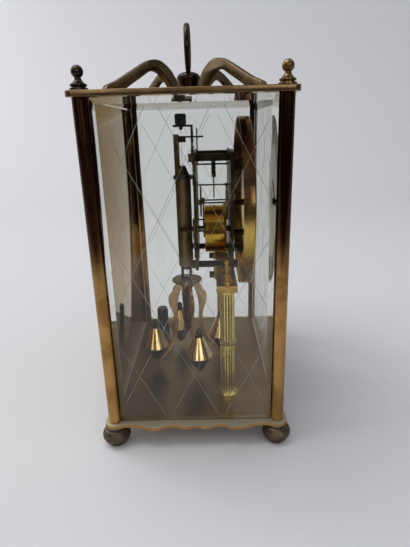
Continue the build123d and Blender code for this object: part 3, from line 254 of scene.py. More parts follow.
class Wire:
    # one socket; an operator on it adds its Math node
    def __init__(self, bench, socket):
        self.bench = bench
        self.socket = socket

    def combine(self, operation, other, swapped=False):
        pair = [other, self] if swapped else [self, other]
        return self.bench.node("ShaderNodeMath", {"operation": operation}, {0: pair[0], 1: pair[1]})

    def __add__(self, other):
        return self.combine("ADD", other)

    def __radd__(self, other):
        return self.combine("ADD", other, True)

    def __sub__(self, other):
        return self.combine("SUBTRACT", other)

    def __rsub__(self, other):
        return self.combine("SUBTRACT", other, True)

    def __mul__(self, other):
        return self.combine("MULTIPLY", other)

    def __rmul__(self, other):
        return self.combine("MULTIPLY", other, True)

    def __truediv__(self, other):
        return self.combine("DIVIDE", other)

    def __rtruediv__(self, other):
        return self.combine("DIVIDE", other, True)

    def atLeast(self, other):
        return self.combine("MAXIMUM", other)

    def atMost(self, other):
        return self.combine("MINIMUM", other)

    def step(self, low, high, bottom=0.0, top=1.0):
        # smooth rise from bottom to top while the value goes from low to high
        values = {"Value": self, "From Min": low, "From Max": high, "To Min": bottom, "To Max": top}
        return self.bench.node("ShaderNodeMapRange", {"interpolation_type": "SMOOTHSTEP"}, values)


class Bench:
    # one material or world and the nodes on it
    def __init__(self, owner):
        owner.use_nodes = True
        self.owner = owner
        self.tree = owner.node_tree
        self.tree.nodes.clear()

    def node(self, kind, settings=None, inputs=None, output=0):
        # one node of a kind, with its settings, its values or links, and the output that is used
        made = self.tree.nodes.new(kind)
        for key, value in (settings or {}).items():
            setattr(made, key, value)
        for key, value in (inputs or {}).items():
            socket = made.inputs[key]
            if isinstance(value, Wire):
                self.tree.links.new(value.socket, socket)
            else:
                socket.default_value = value
        return Wire(self, made.outputs[output]) if made.outputs else None

    def place(self, scale=(1, 1, 1)):
        # object coordinates in millimetres, stretched by the scale
        coordinates = self.node("ShaderNodeTexCoord", output="Object")
        factors = tuple(s / mm for s in scale)
        return self.node("ShaderNodeVectorMath", {"operation": "MULTIPLY"}, {0: coordinates, 1: factors})

    def noise(self, place, size, detail=3.0, roughness=0.55):
        # size is the width of a patch in the units of the place
        values = {"Vector": place, "Scale": 1 / size, "Detail": detail, "Roughness": roughness}
        return self.node("ShaderNodeTexNoise", {}, values)

    def mix(self, amount, first, second):
        # inputs 6 and 7 and output 2 are the Mix node's colours
        settings = {"data_type": "RGBA"}
        return self.node("ShaderNodeMix", settings, {0: amount, 6: first, 7: second}, output=2)

    def absolute(self, value):
        # the value without its sign
        return self.node("ShaderNodeMath", {"operation": "ABSOLUTE"}, {0: value})

    def axis(self, place, name):
        # one of a vector's three values
        index = "XYZ".index(name)
        return self.node("ShaderNodeSeparateXYZ", {}, {0: place}, output=index)

    def bump(self, height, strength, distance=0.02):
        values = {"Height": height, "Strength": strength, "Distance": distance * mm}
        return self.node("ShaderNodeBump", {}, values)

    def surface(self, shader):
        # closes the material and hands it back
        self.node("ShaderNodeOutputMaterial", {}, {"Surface": shader})
        return self.owner


def tone(red, green, blue):
    # an sRGB colour from 0 to 255 as linear light
    c = np.array([red, green, blue]) / 255
    linear = np.where(c <= 0.04045, c / 12.92, ((c + 0.055) / 1.055) ** 2.4)
    return tuple(float(v) for v in linear) + (1.0,)


def newBench(name):
    return Bench(bpy.data.materials.new(name))


def brassFinish(name, look):
    # metal whose colour drifts between a bright and a deep tone, with tarnish, smears and fine scratches
    b = newBench(name)
    place = b.place()
    cloud = b.noise(place, look["patch"], 4.0, 0.6).step(0.38, 0.64)
    speck = b.noise(place, look["patch"] * 0.12, 5.0, 0.7).step(0.56, 0.74)
    grain = b.noise(b.place(look["grain"]), 1.0, 4.0, 0.65)
    smear = b.noise(place, look["patch"] * 2.2, 2.0, 0.5).step(0.4, 0.68)
    colour = b.mix(cloud * look["drift"], look["bright"], look["deep"])
    colour = b.mix(speck * look["spots"], colour, look["tarnish"])
    if "side" in look:
        # painted shade: darker towards the rear, +Y
        colour = b.mix(b.axis(place, "Y").step(*look["sideFrom"]), colour, look["side"])
    if "grooveShade" in look:
        # painted shade: the flutes and the hollows between the band's beads are coloured darker
        depth = b.node("ShaderNodeAttribute", {"attribute_name": "groove"}, output="Fac")
        colour = b.mix(depth, colour, look["grooveShade"])
    if "top" in look:
        # painted shade: the colour darkens upwards, for the dark room that the upper metal reflects
        rise = b.axis(place, "Z").step(*look["topFrom"])
        paintedShade = (rise + (cloud - 0.5) * 0.25 * (1 - rise)).atLeast(0.0).atMost(1.0)
        colour = b.mix(paintedShade, colour, look["top"])
    if "border" in look:
        # the plate outside the glass stays paler than the floor inside, and its edge is bare brass
        beyondX = b.absolute(b.axis(place, "X")) - look["glassX"]
        beyondY = b.absolute(b.axis(place, "Y")) - look["glassY"]
        outside = beyondX.atLeast(beyondY).step(-0.4, 0.4)
        colour = b.mix(outside * 0.9, colour, look["border"])
        edge = b.axis(place, "Z").step(look["level"] - 0.4, look["level"] - 0.2, 1.0, 0.0)
        colour = b.mix(edge * (0.8 + cloud * 0.2), colour, look["edge"])
    rough = look["rough"] + smear * look["smearRough"] + speck * 0.18 + (grain - 0.5) * look["grainRough"]
    if "border" in look:
        rough = rough + outside * 0.3
    values = {
        "Base Color": colour,
        "Metallic": 1.0,
        "Roughness": rough,
        "Normal": b.bump(grain, look["bump"]),
    }
    return b.surface(b.node("ShaderNodeBsdfPrincipled", {}, values))


# patch is the width of a cloud in millimetres, grain the scratches per millimetre along x, y and z
caseBrass = {
    "bright": tone(122, 102, 72),
    "deep": tone(84, 68, 48),
    "tarnish": tone(42, 32, 24),
    "patch": 12.0,
    "drift": 0.75,
    "spots": 0.55,
    "grain": (0.8, 0.8, 14.0),
    "rough": 0.24,
    "smearRough": 0.14,
    "grainRough": 0.1,
    "bump": 0.1,
}
metalLooks = {
    "post": {
        "bright": tone(200, 156, 96),
        "deep": tone(162, 118, 66),
        "tarnish": tone(88, 54, 32),
        # painted shade: the posts darken towards the roof
        "top": tone(78, 50, 36),
        "topFrom": (86.0, 126.0),
        "patch": 16.0,
        "spots": 0.3,
        "grain": (9.0, 9.0, 0.35),
        "rough": 0.15,
    },
    "case": {},
    "roof": {
        "bright": tone(136, 112, 82),
        "deep": tone(94, 76, 56),
        "drift": 0.5,
        "grain": (0.4, 8.0, 8.0),
    },
    "crown": {"bright": tone(70, 57, 43), "deep": tone(34, 28, 24), "spots": 0.7, "rough": 0.2},
    "finial": {
        "bright": tone(146, 118, 76),
        "deep": tone(104, 82, 54),
        # painted shade on the finials at the rear side
        "side": tone(72, 60, 50),
        "sideFrom": (-20, 20),
        "rough": 0.2,
    },
    "foot": {
        "bright": tone(118, 105, 88),
        "deep": tone(88, 78, 66),
        "tarnish": tone(54, 46, 38),
        "spots": 0.7,
        "patch": 6.0,
        "rough": 0.44,
    },
    "floorPlate": {
        "bright": tone(156, 132, 92),
        "deep": tone(124, 104, 72),
        "tarnish": tone(74, 60, 42),
        "patch": 40.0,
        "drift": 0.4,
        "spots": 0.15,
        "grain": (0.3, 9.0, 9.0),
        "rough": 0.34,
        "smearRough": 0.1,
        "grainRough": 0.05,
        "bump": 0.04,
        "border": tone(206, 200, 176),
        "edge": tone(196, 158, 104),
        "glassX": -leftFace,
        "glassY": -frontFace,
        "level": floorLevel,
    },
    "mirror": {
        "bright": tone(206, 178, 134),
        "deep": tone(190, 160, 114),
        "tarnish": tone(120, 100, 72),
        "patch": 30.0,
        "drift": 0.5,
        "spots": 0.12,
        "grain": (0.3, 6.0, 6.0),
        "rough": 0.04,
        "smearRough": 0.03,
        "grainRough": 0.02,
        "bump": 0.015,
    },
    "column": {
        "bright": tone(255, 232, 142),
        "deep": tone(238, 208, 112),
        "tarnish": tone(150, 116, 56),
        # painted shade in the flutes and between the beads
        "grooveShade": tone(112, 88, 46),
        "patch": 9.0,
        "spots": 0.25,
        "grain": (9.0, 9.0, 0.4),
        "rough": 0.26,
    },
    "movement": {
        "bright": tone(214, 178, 92),
        "deep": tone(176, 138, 64),
        "tarnish": tone(96, 70, 34),
        "patch": 7.0,
        "spots": 0.25,
        "grain": (12.0, 1.2, 0.6),
        "rough": 0.2,
    },
    "plate": {
        "bright": tone(104, 92, 66),
        "deep": tone(76, 66, 48),
        "tarnish": tone(40, 34, 26),
        "patch": 7.0,
        "grain": (10.0, 1.0, 0.6),
        "rough": 0.32,
    },
    "barrel": {
        "bright": tone(232, 188, 80),
        "deep": tone(200, 152, 58),
        "tarnish": tone(140, 96, 34),
        "patch": 11.0,
        "spots": 0.12,
        "grain": (0.4, 14.0, 0.4),
        "rough": 0.13,
    },
    "dialShell": {
        "bright": tone(250, 214, 120),
        "deep": tone(226, 186, 98),
        "tarnish": tone(112, 76, 40),
        # painted shade: the drum darkens towards its top
        "top": tone(140, 104, 76),
        "topFrom": (112.0, 146.0),
        "patch": 26.0,
        "spots": 0.2,
        "grain": (0.5, 12.0, 0.5),
        "rough": 0.15,
    },
    "weight": {
        "bright": tone(238, 212, 158),
        "deep": tone(212, 178, 116),
        "tarnish": tone(124, 88, 46),
        "patch": 8.0,
        "spots": 0.12,
        "grain": (0.7, 0.7, 16.0),
        "rough": 0.1,
    },
    "arm": {
        "bright": tone(240, 202, 158),
        "deep": tone(206, 168, 126),
        "tarnish": tone(80, 58, 40),
        "patch": 7.0,
        "spots": 0.35,
        "grain": (6.0, 6.0, 0.6),
        "rough": 0.24,
    },
    "guard": {
        "bright": tone(190, 172, 128),
        "deep": tone(164, 146, 104),
        "tarnish": tone(86, 72, 50),
        "patch": 8.0,
        "spots": 0.3,
        "grain": (10.0, 10.0, 0.4),
        "rough": 0.5,
    },
    "steel": {
        "bright": tone(170, 168, 160),
        "deep": tone(128, 124, 116),
        "tarnish": tone(78, 66, 54),
        "patch": 5.0,
        "spots": 0.25,
        "grain": (8.0, 1.0, 8.0),
        "rough": 0.24,
    },
    "tube": {
        "bright": tone(236, 196, 130),
        "deep": tone(186, 146, 94),
        "patch": 4.0,
        "grain": (12.0, 12.0, 0.3),
        "rough": 0.3,
    },
    "knob": {"bright": tone(136, 132, 126), "deep": tone(100, 96, 92), "patch": 4.0, "rough": 0.4},
    "dark": {
        "bright": tone(96, 92, 86),
        "deep": tone(62, 56, 52),
        "tarnish": tone(24, 20, 18),
        "patch": 5.0,
        "spots": 0.4,
        "grain": (4.0, 4.0, 4.0),
        "rough": 0.28,
    },
}
finishes = {
    name: brassFinish(name + "Metal", {**caseBrass, **look}) for name, look in metalLooks.items()
}
print("metals ready")


def paintFinish(name, base, aged, rough, patch):
    # paint or lacquer with faint yellowing and a fine orange-peel surface
    b = newBench(name)
    place = b.place()
    age = b.noise(place, patch, 4.0, 0.6).step(0.4, 0.7)
    fine = b.noise(place, 0.35, 2.0, 0.5)
    values = {
        "Base Color": b.mix(age * 0.6, base, aged),
        "Roughness": rough + age * 0.08,
        "Normal": b.bump(fine, 0.08),
    }
    return b.surface(b.node("ShaderNodeBsdfPrincipled", {}, values))


finishes["dialPaint"] = paintFinish("dialEnamel", tone(214, 206, 184), tone(192, 178, 146), 0.34, 14.0)
finishes["chapterRing"] = paintFinish("chapterBronze", tone(142, 120, 88), tone(112, 90, 62), 0.3, 9.0)
finishes["black"] = paintFinish("blackLacquer", tone(26, 24, 23), tone(40, 34, 30), 0.3, 6.0)
finishes["ink"] = paintFinish("numeralInk", tone(40, 34, 30), tone(62, 50, 40), 0.4, 5.0)


def glassFinish():
    # clear plate that lets lamp light through, so what stands behind it is lit
    b = newBench("plateGlass")
    place = b.place()
    smear = b.noise(place, 26.0, 4.0, 0.6).step(0.5, 0.8)
    values = {
        "Base Color": tone(250, 251, 249),
        "Transmission Weight": 1.0,
        "IOR": 1.47,
        "Roughness": smear * 0.004,
    }
    clear = b.node("ShaderNodeBsdfPrincipled", {}, values)
    passing = b.node("ShaderNodeBsdfTransparent", {}, {"Color": (0.96, 0.97, 0.96, 1)})
    fromLamp = b.node("ShaderNodeLightPath", output="Is Shadow Ray")
    return b.surface(b.node("ShaderNodeMixShader", {}, {0: fromLamp, 1: clear, 2: passing}))


def etchFinish():
    # frosted line cut in the glass
    b = newBench("etchedLine")
    speck = b.noise(b.place(), 0.5, 3.0, 0.7)
    values = {
        "Base Color": tone(186, 182, 170),
        "Roughness": 0.6,
        "Alpha": 0.2 + speck * 0.4,
    }
    return b.surface(b.node("ShaderNodeBsdfPrincipled", {}, values))


finishes["glass"] = glassFinish()
finishes["etch"] = etchFinish()

# Case


def everyCorner(shape):
    # the shape once at each of the four feet
    return [moved(shape, (x, y, 0)) for x, y in corners]


foot = {"sole": 4.4, "widest": footRadius, "collar": 5.2}


def bunProfile():
    # a sole, a full belly a little above the middle and a thin collar under the plate
    height = footHigh[2] - footLow[2]
    belly = [
        (0, 0),
        (foot["sole"], 0),
        (foot["sole"] + 0.6, 0.5),
        (foot["sole"] + 0.5, 1.3),
        (6.4, 2.4),
        (foot["widest"], 5.2),
        (foot["widest"], 6.8),
        (6.6, 9.6),
        (foot["collar"], 10.5),
        (foot["collar"], 11.2),
        (foot["collar"] + 0.7, 11.5),
        (foot["collar"] + 0.7, height),
        (0, height),
    ]
    smooth = smoothLine(belly[3:9], 8)
    smooth[:, 0] = np.minimum(smooth[:, 0], foot["widest"])
    return np.vstack([belly[:3], smooth, belly[9:]])


makePiece("bunFeet", everyCorner(lathe(eased(bunProfile(), 0.15))), finishes["foot"], "bun_feet")

post = {"radius": 3.65, "chamferIn": 0.25, "chamferUp": 0.3}


def postProfile():
    # a plain rod between floor and roof, its two ends chamfered
    end = post["radius"] - post["chamferIn"]
    return [
        (0, floorLevel),
        (end, floorLevel),
        (post["radius"], floorLevel + post["chamferUp"]),
        (post["radius"], ceilingLevel - post["chamferUp"]),
        (end, ceilingLevel),
        (0, ceilingLevel),
    ]


makePiece("cornerPosts", everyCorner(lathe(postProfile(), steps=64)), finishes["post"], "corner_posts")

finial = {"ring": 4.1, "groove": 3.1, "skirt": 3.7, "neck": 1.4, "ball": 2.7, "height": 10.5}


def finialProfile():
    # two rings with a groove between them, a bell and a ball
    f = finial
    ballLevel = f["height"] - f["ball"]
    start = -degrees(np.arccos(f["neck"] / f["ball"]))
    stack = [
        (0, 0),
        (f["ring"], 0),
        (f["ring"], 1.1),
        (f["groove"], 1.3),
        (f["groove"], 1.7),
        (f["skirt"], 1.9),
        (f["skirt"], 2.7),
        (f["groove"], 2.95),
    ]
    bell = smoothLine([(3.0, 3.0), (2.3, 3.6), (1.75, 4.4), (f["neck"], 5.3)], 6)
    ball = arcPoints((0, ballLevel), f["ball"], start, 90, 18)
    return np.vstack([eased(stack, 0.14), bell, ball])


finialShape = lathe(finialProfile(), (0, 0, roofLevel), steps=48)
makePiece("cornerFinials", everyCorner(finialShape), finishes["finial"], "corner_finials")


def roundedRectangle(halfWidth, halfDepth, radius, steps=10):
    # four quarter circles joined by straight sides
    quarter = []
    for sx, sy, start in ((1, 1, 0), (-1, 1, 90), (-1, -1, 180), (1, -1, 270)):
        centre = (sx * (halfWidth - radius), sy * (halfDepth - radius))
        quarter.append(arcPoints(centre, radius, start, start + 90, steps))
    return np.vstack(quarter)


roof = {"corner": 3.5, "ease": 0.5}
roofReach = boxMm("top_plate")[1]
roofOutline = roundedRectangle(roofReach[0], roofReach[1], roof["corner"])
roofShape = slab(roofOutline, ceilingLevel, roofLevel, roof["ease"], steps=4)
makePiece("roofPlate", [roofShape], finishes["roof"], "top_plate", under=finishes["mirror"])

dress("base_plate", finishes["floorPlate"], 0.3)
arm = {"width": 3.4, "ease": 0.45}


def scrollArm(angle):
    # a flat bar between two smooth lines, one over it from toe to hub and one under it back again
    over = [(67.8, 0), (67.5, 1.6), (66.0, 3.2), (62.2, 4.7), (57.6, 6.4), (50.2, 9.9), (43.4, 13.2)]
    over += [(38.4, 15.5), (34.8, 16.9), (31.2, 17.7), (27.1, 17.6), (23.0, 16.4), (18.8, 14.2)]
    over += [(15.6, 11.6), (13.0, 7.6), (11.5, 3.0), (11.5, 0)]
    below = [(16.4, 0), (17.7, 3.9), (20.5, 7.2), (23.1, 9.2), (25.6, 10.8), (28.2, 11.8), (30.9, 12.2)]
    below += [(33.8, 12.0), (36.4, 11.3), (38.9, 10.1), (44.0, 7.5), (49.9, 4.6), (55.1, 1.9), (58.6, 0)]
    outline = np.vstack([smoothLine(over[1:], 5), smoothLine(below, 5), over[:1]])
    c, s = cos(angle), sin(angle)
    toWorld = ([[c, s, 0], [0, 0, 1], [s, -c, 0]], (0, 0, roofLevel))
    return slab(outline, -arm["width"] / 2, arm["width"] / 2, arm["ease"], toWorld)


armAngles = [atan2(y, x) for x, y in corners]
makePiece("scrollArms", [scrollArm(angle) for angle in armAngles], finishes["case"], "scroll_arms")

hub = {"cap": 6.8, "waist": 5.3, "foot": 5.6, "height": 11.6, "dome": 2.9}


def hubProfile():
    # a foot, a waist that flares into a rim, and a shallow dome: half an ellipse
    cap, waist, height = hub["cap"], hub["waist"], hub["height"]
    flare = [(hub["foot"] - 0.4, 1.0), (waist, 4.8), (waist + 0.5, 7.6), (cap - 0.3, height - 1.2)]
    rim = [(cap, height - 0.9), (cap, height - 0.1)]
    bend = np.radians(np.linspace(0, 90, 14))
    dome = np.stack([(cap - 0.15) * np.cos(bend), height + hub["dome"] * np.sin(bend)], -1)
    return np.vstack([[(0, 0), (hub["foot"], 0), (hub["foot"], 0.7)], smoothLine(flare, 8), rim, dome])


makePiece("hubCap", [lathe(hubProfile(), (0, 0, roofLevel), steps=56)], finishes["crown"], "hub_cap")

ringLow, ringHigh = boxMm("handle_ring")
ring = {"thinWire": 1.4, "thickWire": 1.7}


def ringShape():
    # a circle of wire, a little thicker at the top than in its seat
    middle = (ringLow[2] + ringHigh[2]) / 2
    angle = np.linspace(0, turn, 96, endpoint=False)
    share = 0.5 + 0.5 * np.sin(angle)
    wire = ring["thinWire"] + (ring["thickWire"] - ring["thinWire"]) * share
    radius = (ringHigh[0] - ringLow[0]) / 2 - wire
    path = np.stack([radius * np.cos(angle), 0 * angle, middle + radius * np.sin(angle)], -1)
    return wireLoop(path, wire)


makePiece("handleRing", [ringShape()], finishes["crown"], "handle_ring")
print("case ready")

# Glass with its engraved lattice

bevel = {"width": 3.0, "depth": 1.4}


def bevelledPane(node, across, outward):
    # a flat back, a rim, and a face that rises from the rim over the width of the bevel
    low, high = boxMm(node)
    side = np.array(across, float)
    out = np.array(outward, float)
    middle = (low + high) / 2
    thick = np.abs((high - low) @ out)
    halfSpan = np.abs((high - low) @ side) / 2
    halfTall = (high[2] - low[2]) / 2
    clearSpan = (halfX if across[0] else halfY) - post["radius"]
    clearTall = (ceilingLevel - floorLevel) / 2
    rim = thick / 2 - bevel["depth"]
    rings = np.array([
        (halfSpan, halfTall, -thick / 2),
        (halfSpan, halfTall, rim),
        (clearSpan, clearTall, rim),
        (clearSpan - bevel["width"], clearTall - bevel["width"], thick / 2),
    ])
    reach = rings[:, 0, None, None] * np.array([1, -1, -1, 1])[None, :, None]
    rise = rings[:, 1, None, None] * np.array([1, 1, -1, -1])[None, :, None]
    level = rings[:, 2, None, None]
    points = (middle + side * reach + np.array([0, 0, 1]) * rise + out * level).reshape(-1, 3)
    faces = [list(f) for f in gridFaces(len(rings), 4)] + [[0, 1, 2, 3], [12, 13, 14, 15]]
    return points, faces


for node, across, outward in (
    ("glass_front", (1, 0, 0), (0, -1, 0)),
    ("glass_left", (0, 1, 0), (-1, 0, 0)),
    ("glass_right", (0, 1, 0), (1, 0, 0)),
):
    makePiece(node + "Pane", [bevelledPane(node, across, outward)], finishes["glass"], node, sharp=2)

lattice = {
    "across": 29.7,  # one diamond
    "tall": 57.3,
    "line": 0.26,
    "depth": 0.04,
    "middle": 100.0,
    "border": 4.0,
    "inset": 0.2,
    "shortest": 1.5,
}


def latticeLines(halfWidth, low, high):
    # two families of slanted lines, clipped to the clear part of the pane
    slope = lattice["tall"] / lattice["across"]
    spans = []
    middle = lattice["middle"]
    reach = (high - low) / slope + 2 * halfWidth
    count = int(reach / lattice["across"]) + 2
    for lean in (1, -1):
        for step in range(-count, count + 1):
            start = step * lattice["across"]
            points = []
            for edge in (-halfWidth, halfWidth):
                level = middle + lean * slope * (edge - start)
                level = min(max(level, low), high)
                points.append((start + lean * (level - middle) / slope, level))
            if abs(points[0][1] - points[1][1]) > lattice["shortest"]:
                spans.append(points)
    return spans


def lineStrip(start, end, origin, across, outward):
    # a thin raised bar along one line of the lattice
    a = origin + across * start[0] + np.array([0, 0, start[1]])
    b = origin + across * end[0] + np.array([0, 0, end[1]])
    ahead = (b - a) / np.linalg.norm(b - a)
    side = np.cross(outward, ahead) * lattice["line"] / 2
    lift = outward * lattice["depth"]
    ends = np.array([a - side, a + side, a + side + lift, a - side + lift])
    points = np.vstack([ends, ends + (b - a)])
    faces = [[0, 1, 2, 3], [7, 6, 5, 4], [0, 4, 5, 1], [1, 5, 6, 2], [2, 6, 7, 3], [3, 7, 4, 0]]
    return points, faces


def latticeOn(name, node, origin, across, outward, halfWidth):
    # the lines of one pane, on the face that looks along outward
    low, high = floorLevel + lattice["border"], ceilingLevel - lattice["border"]
    way = [np.array(vector, float) for vector in (origin, across, outward)]
    shapes = [lineStrip(a, b, *way) for a, b in latticeLines(halfWidth, low, high)]
    makePiece(name, shapes, finishes["etch"], node, stands=False)


trim = post["radius"] + bevel["width"] + lattice["inset"]
latticeOn("leftLattice", "glass_left", (leftFace, 0, 0), (0, 1, 0), (1, 0, 0), halfY - trim)
latticeOn("rightLattice", "glass_right", (rightFace, 0, 0), (0, 1, 0), (-1, 0, 0), halfY - trim)
latticeOn("frontLattice", "glass_front", (0, frontFace, 0), (1, 0, 0), (0, 1, 0), halfX - trim)
print("glass ready")

doorLow, doorHigh = boxMm("rear_door")
door = {
    "thick": 1.5,
    "sheet": 0.5,
    "gap": 0.45,
    "corner": 0.6,
    "pin": 0.8,
    "pinInset": 1.4,
    "knob": 2.3,
    "knobInset": 5.6,
}


def doorShapes():
    # a thin polished sheet in the plane of the posts, its two pins and a small turned knob
    d = door
    outer = halfY + d["thick"] / 2
    tall = ceilingLevel - floorLevel - 2 * d["gap"]
    middle = (ceilingLevel + floorLevel) / 2
    hinge = halfX - post["radius"] - d["gap"]
    outline = roundedRectangle(hinge, tall / 2, d["corner"], 4)
    toWorld = ([[1, 0, 0], [0, 0, 1], [0, 1, 0]], (0, 0, middle))
    sheet = slab(outline, outer - d["sheet"], outer, 0.12, toWorld, 2)
    pinAt = (hinge - d["pinInset"], halfY, 0)
    pinProfile = [(0, doorLow[2]), (d["pin"], doorLow[2]), (d["pin"], doorHigh[2]), (0, doorHigh[2])]
    pins = lathe(pinProfile, pinAt, steps=24)
    out = doorHigh[1] - outer
    r = d["knob"]
    pull = [(0, 0), (r * 0.7, 0), (r * 0.45, out * 0.2), (r * 0.45, out * 0.4), (r, out * 0.6)]
    pull += [(r, out * 0.85), (r * 0.7, out), (0, out)]
    return [sheet, pins, lathe(eased(pull, 0.25), (d["knobInset"] - hinge, outer, middle), "Y", 32)]


makePiece("rearDoor", doorShapes(), finishes["mirror"], "rear_door")

# Columns, bridge and what stands on them

columnLow, columnHigh = boxMm("columns")
column = {
    "foot": 6.0,
    "radius": 4.35,
    "flutes": 16,
    "depth": 0.6,
    "height": boxMm("bridge")[0][2] - floorLevel,
    "bandLow": 34.0,
    "bandHigh": 37.4,
    "beads": 26,
    "bead": 0.3,
}


def bothColumns(shape):
    # the shape at the two columns
    x = columnHigh[0] - column["foot"]
    y = (columnLow[1] + columnHigh[1]) / 2
    return [moved(shape, (side * x, y, 0)) for side in (-1, 1)]


def flutedColumn():
    # rings of the section at each level; the flutes fade out at the foot, the band and the neck
    c = column
    top = c["height"]
    foot = [(0, 0), (c["foot"], 0), (c["foot"], 1.1), (5.2, 1.7), (4.5, 2.0)]
    lower = np.stack([np.full(8, c["radius"]), np.linspace(2.2, c["bandLow"], 8)], -1)
    low, high = c["bandLow"], c["bandHigh"]
    band = [
        (4.7, low + 0.05),
        (4.8, low + 0.45),
        (4.2, low + 0.8),
        (4.6, low + 1.1),
        (4.85, low + 1.7),
        (4.6, low + 2.3),
        (4.2, low + 2.6),
        (4.8, high - 0.45),
        (4.7, high - 0.05),
    ]
    upper = np.stack([np.full(10, c["radius"]), np.linspace(high + 0.1, top - 1.7, 10)], -1)
    neck = [(4.9, top - 1.5), (5.0, top - 1.0), (4.9, top), (0, top)]
    profile = np.vstack([foot, lower, band, upper, neck])

    def grooves(height, angle):
        # 1 in a flute and 0 on the land between two, with a slope at each side
        inside = ((height > 2.1) & (height < low)) | ((height > high) & (height < top - 1.6))
        share = np.abs((angle * c["flutes"] / turn) % 1 - 0.5)
        return np.clip((0.2 - share) / 0.1, 0, 1) * inside

    def beads(height, angle):
        # cos(beads a) in the middle of the band
        return np.cos(c["beads"] * angle) * ((height > low + 1.0) & (height < low + 2.4))

    def wave(height, angle):
        return c["bead"] * beads(height, angle) - c["depth"] * grooves(height, angle)

    steps = c["flutes"] * 12
    angle = np.linspace(0, turn, steps, endpoint=False)[None, :]
    height = profile[:, 1][:, None]
    # painted shade: dark is 1 in the flutes and between the beads, where the finish colours the metal
    # darker
    shadeBetweenBeads = (0.6 - beads(height, angle)) * (np.abs(height - low - 1.7) < 1.3)
    dark = np.clip(np.maximum(grooves(height, angle), shadeBetweenBeads), 0, 1)
    return lathe(profile, (0, 0, floorLevel), steps=steps, wave=wave), dark.ravel()


shaft, shade = flutedColumn()
columns = bothColumns(shaft)
makePiece("flutedColumns", columns, finishes["column"], "columns", sharp=50, groove=np.tile(shade, 2))

nutLow, nutHigh = boxMm("column_nuts")
columnNut = {"flange": 3.4, "ring": 2.85, "groove": 2.2, "rings": 3, "pitch": 1.5, "ball": 1.75}


def columnNutProfile():
    # a wide ring, three narrower ones, a waist and a ball
    n = columnNut
    tall = nutHigh[2] - nutLow[2]
    rings = [(0, 0), (n["flange"], 0), (n["flange"], 1.2), (2.3, 1.5)]
    for step in range(n["rings"]):
        low = 1.6 + step * n["pitch"]
        rings += [(n["groove"], low), (n["ring"], low + 0.4), (n["ring"], low + 0.9)]
        rings += [(n["groove"], low + 1.3)]
    rings += [(1.3, 6.9), (1.05, 8.4)]
    ball = arcPoints((0, tall - n["ball"]), n["ball"], -54, 90, 14)
    return np.vstack([eased(rings, 0.14), ball])


nut = lathe(columnNutProfile(), (0, 0, nutLow[2]), steps=40)
makePiece("columnNuts", bothColumns(nut), finishes["barrel"], "column_nuts")

dress("bridge", finishes["movement"], 0.25)
dress("movement_saddles", finishes["movement"], 0.2)
dress("saddle_screws", finishes["dark"], 0.12)

stopLow, stopHigh = boxMm("stop_post")
stopPost = {"ridges": 4, "groove": 0.55, "plain": 0.45, "pitch": 0.11, "ridge": 0.077}


def stopPostProfile():
    # a plain shaft with fine ridges below a rounded top; the heights are shares of the whole
    r = (stopHigh[0] - stopLow[0]) / 2
    tall = stopHigh[2] - stopLow[2]
    points = [(0, 0), (r, 0), (r, tall * stopPost["plain"])]
    for step in range(stopPost["ridges"]):
        low = tall * (0.5 + stopPost["pitch"] * step)
        points += [(r - stopPost["groove"], low), (r, low + 0.4), (r, low + tall * stopPost["ridge"])]
    points += [(r - 0.9, tall), (0, tall)]
    return eased(points, 0.14)


standing = ((stopLow[0] + stopHigh[0]) / 2, (stopLow[1] + stopHigh[1]) / 2, stopLow[2])
makePiece("stopPost", [lathe(stopPostProfile(), standing, steps=48)], finishes["dark"], "stop_post")

# Movement

movementSkins = {
    "plate": ["back_plate", "front_plate", "movement_pillars", "pillar_nuts", "dial_feet"],
    "barrel": ["great_wheel", "barrel_drum", "barrel_cap"],
    "movement": [
        "ratchet_wheel",
        "second_wheel",
        "third_wheel",
        "centre_wheel",
        "escape_wheel",
        "cannon_pinion",
        "minute_wheel",
        "hour_wheel",
    ],
    "steel": [
        "winding_arbor",
        "click",
        "second_arbor",
        "third_arbor",
        "centre_arbor",
        "escape_arbor",
        "anchor",
        "suspension_spring",
    ],
    "dark": [
        "click_spring",
        "mainspring",
        "guard_cone",
        "hand_nut",
        "fork",
        "suspension_bracket",
        "pendulum_hook",
    ],
}
for finishName, nodes in movementSkins.items():
    for node in nodes:
        dress(node, finishes[finishName])
print("movement ready")

# Dial and hands

dialLow, dialHigh = boxMm("dial_pan")
dialAt = ((dialLow[0] + dialHigh[0]) / 2, (dialLow[2] + dialHigh[2]) / 2)
dial = {
    "radius": (dialHigh[0] - dialLow[0]) / 2,
    "front": dialLow[1] + 0.5,
    "wall": 0.6,
    "face": 0.9,
    "rim": 1.4,
    "hole": 2.4,
    "centre": 34.8,
    "centreThick": 0.26,
    "ringThick": 0.3,
    "numeral": 8.6,
    "numeralReach": 41.5,
    "numeralThick": 0.16,
    "numeralBold": 0.12,
}


def dialPanShape():
    # a shallow drum open at the rear, with a rolled front edge; profile heights run towards +Y
    r = dial["radius"]
    back, front = dialHigh[1], dial["front"]
    hole = dial["hole"]
    inner = r - dial["wall"]
    profile = [
        (hole, front),
        (r - 16.5, front),
        (r - 16.4, front - 0.22),
        (r - 3.4, front - 0.22),
        (r - 3.2, front),
        (r - dial["rim"], front),
        (r - dial["rim"], front - 0.3),
        (r - 0.8, front - 0.5),
        (r - 0.1, front - 0.1),
        (r, front + 0.5),
        (r, back),
        (inner, back),
        (inner, front + dial["face"]),
        (hole, front + dial["face"]),
        (hole, front),
    ]
    return lathe(eased(profile, 0.12), (dialAt[0], 0, dialAt[1]), "Y", 160)


makePiece("dialPan", [dialPanShape()], finishes["dialShell"], "dial_pan")


def flatRing(inner, outer, thick):
    # a flat ring that lies on the front of the drum
    back, front = dial["front"] - 0.02, dial["front"] - thick
    profile = [(inner, back), (inner, front), (outer, front), (outer, back), (inner, back)]
    return lathe(profile, (dialAt[0], 0, dialAt[1]), "Y", 128)


